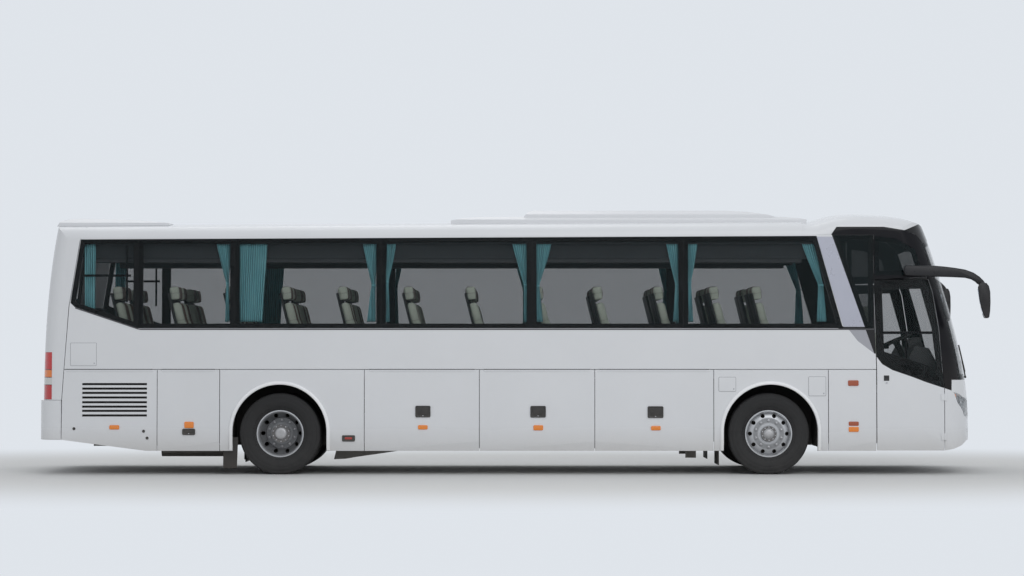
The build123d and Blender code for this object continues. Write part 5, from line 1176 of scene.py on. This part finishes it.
frame_parts = [
    bar((0.30, 0.055, 0.300), (0.170, 0, 0.160), 0.0, 0.006),
    bar((0.38, 0.090, 0.012), (0.180, 0, 0.006), 0.0, 0.004),
    bar((0.036, 0.860, 0.036), (0.050, 0, 0.322), 0.0, 0.006),
    bar((0.036, 0.860, 0.036), (0.330, 0, 0.322), 0.0, 0.006),
    bar((0.036, 0.030, 0.310), (-0.035, 0, 0.450), LEAN, 0.006)]
for offset in (-SEAT_WIDTH / 2, SEAT_WIDTH / 2):
    frame_parts += [bar((0.030, 0.425, 0.700), (-0.152, offset, 0.710), LEAN, 0.013, 3),
                    bar((0.012, 0.330, 0.200), (-0.155, offset, 0.560), LEAN, 0.004)]
    frame_parts += [bar((0.340, 0.014, 0.040), (0.170, offset + y, 0.345), 0.0, 0.005)
                    for y in (-0.200, 0.200)]
for y in (-0.420, 0.420):
    frame_parts += [bar((0.300, 0.042, 0.034), (0.020, y, 0.630), 0.0, 0.012, 3),
                    bar((0.030, 0.020, 0.060), (-0.110, y, 0.622), 0.0, 0.006)]
seat_frame = united(frame_parts, "seat_frame")
SEAT_ROWS = (-4.929, -4.206, -3.498, -2.782, -2.060, -1.222, -0.429, 0.427, 1.182, 1.955,
             2.664, 3.209)
SEAT_MIDDLE, FLOOR_Z = 0.7025, 1.250
for side, way in SIDES:
    for row, x in enumerate(SEAT_ROWS, 1):
        foot = Matrix.Translation((x + 0.090, way * SEAT_MIDDLE, FLOOR_Z))
        stand = copied(seat_frame, f"seat_frame_{side}_{row:02d}", foot)
        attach(stand, "coach")
        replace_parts(stand, f"seats_{side}")
        for place, offset in (("aisle", -way * SEAT_WIDTH / 2),
                              ("window", way * SEAT_WIDTH / 2)):
            for pad, where in pads:
                place_pad(pad, f"{pad.name}_{side}_{row:02d}_{place}",
                          foot @ Matrix.Translation((0, offset, 0)) @ where,
                          f"seats_{side}")


# ---------------------------------------------------------------- curtains
# Turquoise satin curtains hung from the rail over the side glass. Each is gathered into
# fine pleats at its header; all but two are drawn in by a tie band. Painted light and shade
# lie on the pleats: the folds nearest the glass lighter, those further in darker.
curtain_cloth, tree, shader = new_material("turquoise curtain satin", {
    "Roughness": 0.62, "Sheen Weight": 0.5, "Sheen Roughness": 0.4,
    "Transmission Weight": 0.0})
on_cut = add_node(tree, "UVMap", uv_map="cut").outputs["UV"]
dyed = mixed(tree, noise(tree, on_cut, 6.0, 3.0), (0.200, 0.600, 0.680, 1),
             (0.330, 0.740, 0.800, 1))
hem = maths(tree, "COMPARE", split(tree, on_cut)["Y"], 0.035, 0.0015)
# painted shade in the fold valleys and painted light on the ridges, by how far each fold lies
# from the glass
off = maths(tree, "ABSOLUTE",
            split(tree, add_node(tree, "TexCoord").outputs["Object"])["Y"])
feed(tree, shader, {
    "Base Color": vectors(tree, "SCALE", mixed(tree, hem, dyed, (0.12, 0.40, 0.48, 1)),
                          ranged(tree, off, 1.168, 1.190, 0.42, 1.12)),
    "Normal": relief(tree, noise(tree, on_cut, 700.0, 2.0), 0.0006, 0.4)})

RAIL_Z, HEM_Z, CURTAIN_Y = 2.922, 1.932, 1.179
PLEAT, PLEAT_DEPTH, FEWEST_FOLDS = 0.027, 0.0125, 5
FOLD_COLUMNS, ROWS, SATIN = 8, 30, 0.0012
# header from x to x, tie band from x to x and its height, hem from x to x
CURTAINS = (
    ("a", (-5.412, -5.267), None, (-5.405, -5.275)),
    ("b", (-3.734, -3.555), (-3.606, -3.574, 2.420), (-3.622, -3.570)),
    ("c", (-3.446, -3.088), None, (-3.470, -3.150)),
    ("d", (-1.873, -1.695), (-1.760, -1.713, 2.396), (-1.822, -1.712)),
    ("e", (-1.568, -1.453), (-1.580, -1.550, 2.440), (-1.582, -1.535)),
    ("f", (0.024, 0.198), (0.170, 0.204, 2.400), (0.165, 0.206)),
    ("g", (0.322, 0.516), (0.322, 0.362, 2.390), (0.322, 0.410)),
    ("h", (1.975, 2.122), (2.096, 2.130, 2.400), (2.060, 2.136)),
    ("i", (2.246, 2.374), (2.252, 2.290, 2.430), (2.254, 2.316)),
    ("j", (3.700, 3.868), (3.908, 3.968, 2.400), (3.884, 4.004)))


def between(a, b, share):
    """The value at this share of the way from a to b."""
    return a + (b - a) * share


def pleat_lines(columns, folds, phase, way, head, tie, foot):
    """The rows of points of a gathered curtain. The pleats are one count from header to hem,
    so they crowd where it is tied."""
    for j in range(ROWS + 1):
        share = j / ROWS
        z = RAIL_Z + (HEM_Z - RAIL_Z) * share
        if tie is None:
            drop, above, below = share, head, foot
        elif z > tie[2]:
            drop, above, below = ((RAIL_Z - z) / (RAIL_Z - tie[2])) ** 1.12, head, tie
        else:
            drop, above, below = ((tie[2] - z) / (tie[2] - HEM_Z)) ** 0.8, tie, foot
        low, high = between(above[0], below[0], drop), between(above[1], below[1], drop)
        tight = 0.55 if tie is not None and abs(z - tie[2]) < 0.02 else 1.0
        line = []
        for i in range(columns + 1):
            u = i / columns
            bend = math.sin(2 * math.pi * u * folds
                            + 1.1 * math.sin(5.0 * u + 2.3 * share + phase + head[0]))
            swell = 0.75 + 0.25 * math.sin(9.0 * u + 3.0 * share + 7.0 * head[1])
            x = between(low, high, u) + 0.0016 * math.sin(31.0 * u + 9.0 * share)
            y = CURTAIN_Y + PLEAT_DEPTH * tight * swell * bend
            line.append(Vector((x, way * y, z)))
        yield line


def pleated(name, way, head, tie, foot):
    """A gathered curtain, and its cut width, which is the length of the pleated line near
    the header."""
    folds = max(FEWEST_FOLDS, round((head[1] - head[0]) / PLEAT))
    columns = folds * FOLD_COLUMNS
    lines = list(pleat_lines(columns, folds, len(name), way, head, tie, foot))
    cut = sum((b - a).length for a, b in zip(lines[2], lines[2][1:]))
    mesh = bpy.data.meshes.new(name)
    wide = columns + 1
    faces = []
    for a in (j * wide + i for j in range(ROWS) for i in range(columns)):
        ring = (a, a + 1, a + 1 + wide, a + wide)
        faces.append(ring if way > 0 else ring[::-1])
    mesh.from_pydata([co for line in lines for co in line], [], faces)
    layer = mesh.uv_layers.new(name="cut")
    for loop in mesh.loops:
        j, i = divmod(loop.vertex_index, wide)
        layer.data[loop.index].uv = (cut * i / columns, (RAIL_Z - HEM_Z) * (1 - j / ROWS))
    piece = bpy.data.objects.new(name, mesh)
    bpy.context.collection.objects.link(piece)
    take(piece)
    body = piece.modifiers.new("cloth", "SOLIDIFY")
    body.thickness = SATIN
    body.offset = 0.0
    bpy.ops.object.modifier_apply(modifier="cloth")
    bpy.ops.object.shade_smooth()
    mesh.materials.append(curtain_cloth)
    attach(piece, "coach")
    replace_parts(piece, "curtains")
    return piece, cut


for side, way in SIDES:
    for label, head, tie, foot in CURTAINS:
        piece, cut = pleated(f"curtain_{label}_{side}", way, head, tie, foot)
        bands = []
        if tie is not None:
            fresh()
            bpy.ops.mesh.primitive_torus_add(major_radius=1.0, minor_radius=0.16,
                                             major_segments=28, minor_segments=8)
            band = bpy.context.object
            band.name = f"tie_band_{label}_{side}"
            band.scale = ((tie[1] - tie[0]) / 2 + 0.004, 0.0135, 0.065)
            band.location = ((tie[0] + tie[1]) / 2, way * CURTAIN_Y, tie[2])
            bands.append(settle(band, curtain_cloth, "coach", "curtain_cloth", 60.0))


# ---------------------------------------------------------------- driver's place
# A moulded dashboard with an instrument hood and rocker switches, a four-spoke steering
# wheel on its column, and a sprung driver's seat trimmed in the same cloth.
cab_grey = weathered("cab moulding", (0.060, 0.062, 0.066), 0.6, mottle=(0.12, 10.0),
                     grain=(420.0, 0.6))
dial_black = weathered("instrument glass", (0.008, 0.009, 0.010), 0.08, {"Coat Weight": 1.0},
                       mottle=(0.05, 20.0))
take(nodes["driver_station"])
bpy.ops.object.duplicate()
station = bpy.context.object
bpy.ops.object.transform_apply(location=True, rotation=True, scale=True)
bpy.ops.object.mode_set(mode="EDIT")
bpy.ops.mesh.select_all(action="SELECT")
bpy.ops.mesh.remove_doubles(threshold=0.0001)
bpy.ops.mesh.separate(type="LOOSE")
fresh()
loose = [piece for piece in bpy.data.objects
         if piece == station or piece.name.startswith("driver_station.")]
dash = max(loose, key=lambda piece: piece.dimensions.y)
for piece in loose:
    if piece != dash:
        bpy.data.objects.remove(piece)
for key in list(dash.keys()):
    del dash[key]
dash.name = "dashboard"
dash.hide_render = False
take(dash)
bpy.ops.object.shade_smooth_by_angle(angle=math.radians(30.0))
rounded(dash, 0.022, 3)
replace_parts(dash, "driver_station")
settle(dash, cab_grey, "coach", "cab_grey")

DRIVER_Y = -0.620
hood = box("instrument_hood", (0.170, 0.480, 0.130), (5.185, DRIVER_Y, 1.655),
           (0.0, -16.0, 0.0))
stepped(hood, lambda centre, normal: normal.x < -0.9, 0.020, (0.060, 0, 0))
settle(rounded(hood, 0.008), cab_grey, "coach", "cab_grey")
for i, y in enumerate((-0.740, -0.500)):
    dial = turned(f"gauge_{i}", [(0.0, 0.0), (0.046, 0.0), (0.048, 0.006), (0.052, 0.006),
                                 (0.054, -0.004), (0.0, -0.006)],
                  (5.148, y, 1.650), 40, (-0.96, 0, 0.28), (0.28, 0, 0.96))
    settle(dial, dial_black, "coach", "screen_glass")
switches = [bar((0.016, 0.030, 0.024), (x, -0.330 + 0.042 * i, z), 0.0, 0.004)
            for x, z in ((5.105, 1.395), (5.112, 1.350)) for i in range(7)]
settle(united(switches, "rocker_switches"), dial_black, "coach", "cab_grey")

WHEEL_MIDDLE, TILT = Vector((4.975, DRIVER_Y, 1.700)), -23.03
fresh()
bpy.ops.mesh.primitive_torus_add(location=WHEEL_MIDDLE,
                                 rotation=(0.0, math.radians(TILT), 0.0),
                                 major_radius=0.225, minor_radius=0.0145,
                                 major_segments=64, minor_segments=14)
bpy.context.object.name = "steering_wheel_rim"
settle(bpy.context.object, shell_black, "coach", "cab_grey")
spokes = []
for k in range(4):
    spoke = bar((0.205, 0.034, 0.012), (0.118, 0.0, -0.012), 6.0, 0.005)
    spoke.data.transform(Matrix.Translation(WHEEL_MIDDLE) @ leaning(TILT)
                         @ Matrix.Rotation(math.pi / 4 + math.pi / 2 * k, 4, "Z"))
    spokes.append(spoke)
settle(united(spokes, "steering_wheel_spokes"), shell_black, "coach", "cab_grey")
boss = turned("steering_boss", [(0.0, 0.012), (0.030, 0.010), (0.050, 0.002),
                                (0.056, -0.010), (0.050, -0.024), (0.042, -0.060),
                                (0.036, -0.110), (0.036, -0.420), (0.060, -0.440),
                                (0.064, -0.560), (0.0, -0.560)],
              WHEEL_MIDDLE, 40, (-0.391, 0.0, 0.920), (0.920, 0.0, 0.391))
settle(boss, shell_black, "coach", "cab_grey")

foot = (Matrix.Translation((4.740, DRIVER_Y, 1.000))
        @ Matrix.Diagonal((1.02, 1.12, 1.0, 1.0)))
base = united([
    bar((0.300, 0.320, 0.050), (0.190, 0, 0.025), 0.0, 0.012),
    bar((0.240, 0.260, 0.075), (0.190, 0, 0.095), 0.0, 0.030, 4),
    bar((0.220, 0.240, 0.075), (0.190, 0, 0.160), 0.0, 0.030, 4),
    bar((0.240, 0.260, 0.075), (0.190, 0, 0.225), 0.0, 0.030, 4),
    bar((0.430, 0.400, 0.075), (0.190, 0, 0.305), 0.0, 0.016, 3),
    bar((0.036, 0.420, 0.690), (-0.152, 0, 0.700), LEAN, 0.015, 3),
    bar((0.300, 0.045, 0.036), (0.030, 0.205, 0.610), 0.0, 0.014, 3)], "driver_seat_base")
base.data.transform(foot)
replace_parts(settle(base, shell_black, "coach", "cab_grey"), "driver_station")
for pad, where in pads:
    place_pad(pad, f"driver_{pad.name}", foot @ where, "driver_station")
for piece in [seat_frame, *(pad for pad, where in pads)]:
    bpy.data.objects.remove(piece)


# ---------------------------------------------------------------- ceiling and luggage racks
# Fabric-covered plywood ceiling with aluminium racks along both sides; a padded air duct
# closes each rack against the wall.
give("luggage_racks", weathered("rack grey", (0.055, 0.060, 0.066), 0.55, mottle=(0.1, 8.0),
                                grain=(300.0, 0.3)))
duct_grey = weathered("duct trim grey", (0.050, 0.056, 0.062), 0.85, mottle=(0.12, 5.0),
                      grain=(240.0, 0.6))
DUCTS = ((-5.300, -4.740), (-4.692, -3.516), (-3.468, -1.664), (-1.616, 0.245),
         (0.293, 2.165), (2.213, 3.850))
for side, way in SIDES:
    for k, (x0, x1) in enumerate(DUCTS):
        duct = box(f"air_duct_{side}_{k}", (x1 - x0, 0.036, 0.236),
                   ((x0 + x1) / 2, way * 1.122, 2.850))
        pick_faces(duct, lambda centre, normal: abs(normal.y) > 0.9)
        bpy.ops.mesh.inset(thickness=0.022, depth=0.0)
        bpy.ops.mesh.inset(thickness=0.006, depth=-0.004)
        settle(rounded(duct, 0.003), duct_grey, "coach", "rack_grey")


# ---------------------------------------------------------------- floor, light and camera
# A plain pale floor, an even sky of soft light, and two broad lamps overhead.
fresh()
bpy.ops.mesh.primitive_plane_add(size=400, location=(0, 0, 0))
ground = bpy.context.object
ground.name = "ground"
pale, tree, shader = new_material("pale floor", {
    "Base Color": (0.70, 0.70, 0.69, 1), "Roughness": 0.9, "Specular IOR Level": 0.1})
# away from the coach the floor fades into the pale surround for whatever looks at it
away = vectors(tree, "LENGTH", vectors(tree, "MULTIPLY",
                                       add_node(tree, "TexCoord").outputs["Object"],
                                       (0.085, 0.16, 0.0)))
share = maths(tree, "MULTIPLY", looked_at(tree, "Is Transmission Ray"),
              ranged(tree, away, 0.62, 1.35, interpolation_type="SMOOTHSTEP"))
surround = add_node(tree, "Emission", {"Color": (0.741, 0.779, 0.827, 1), "Strength": 1.0})
faded = add_node(tree, "MixShader", {0: share, 1: shader.outputs["BSDF"],
                                     2: surround.outputs["Emission"]})
feed(tree, tree.nodes["Material Output"], {"Surface": faded.outputs["Shader"]})
ground.data.materials.append(pale)

world = bpy.data.worlds.new("soft studio")
bpy.context.scene.world = world
world.use_nodes = True
tree = world.node_tree
looked = looked_at(tree, "Is Transmission Ray")
feed(tree, tree.nodes["Background"], {
    "Color": mixed(tree, looked, (0.93, 0.96, 1.0, 1), (0.78, 0.82, 0.87, 1)),
    "Strength": mixed(tree, looked, 0.62, 0.95, "FLOAT")})

for name, spot, aim, size, watts in (
        ("overhead", (-3.0, 4.0, 14.0), (0.0, 0.0, 1.5), 12.0, 500.0),
        ("side", (6.0, -18.0, 12.0), (0.0, 0.0, 1.5), 14.0, 1050.0)):
    lamp = bpy.data.lights.new(name, "AREA")
    lamp.shape = "SQUARE"
    lamp.size = size
    lamp.energy = watts
    stand = bpy.data.objects.new(name, lamp)
    bpy.context.scene.collection.objects.link(stand)
    stand.location = spot
    stand.rotation_euler = (Vector(aim) - Vector(spot)).to_track_quat("-Z", "Y").to_euler()

PICTURE_WIDTH, FOCAL_PIXELS, SENSOR = 1024.0, 2370.0, 36.0
camera_data = bpy.data.cameras.new("camera")
camera_data.sensor_width = SENSOR
camera_data.lens = FOCAL_PIXELS / PICTURE_WIDTH * SENSOR
camera_data.clip_end = 500.0
camera = bpy.data.objects.new("camera", camera_data)
bpy.context.scene.collection.objects.link(camera)
camera.location = (0.018, -31.25, 1.55)
camera.rotation_euler = (math.radians(91.547), 0.0, 0.0)
bpy.context.scene.camera = camera
bpy.context.scene.view_settings.view_transform = "Standard"
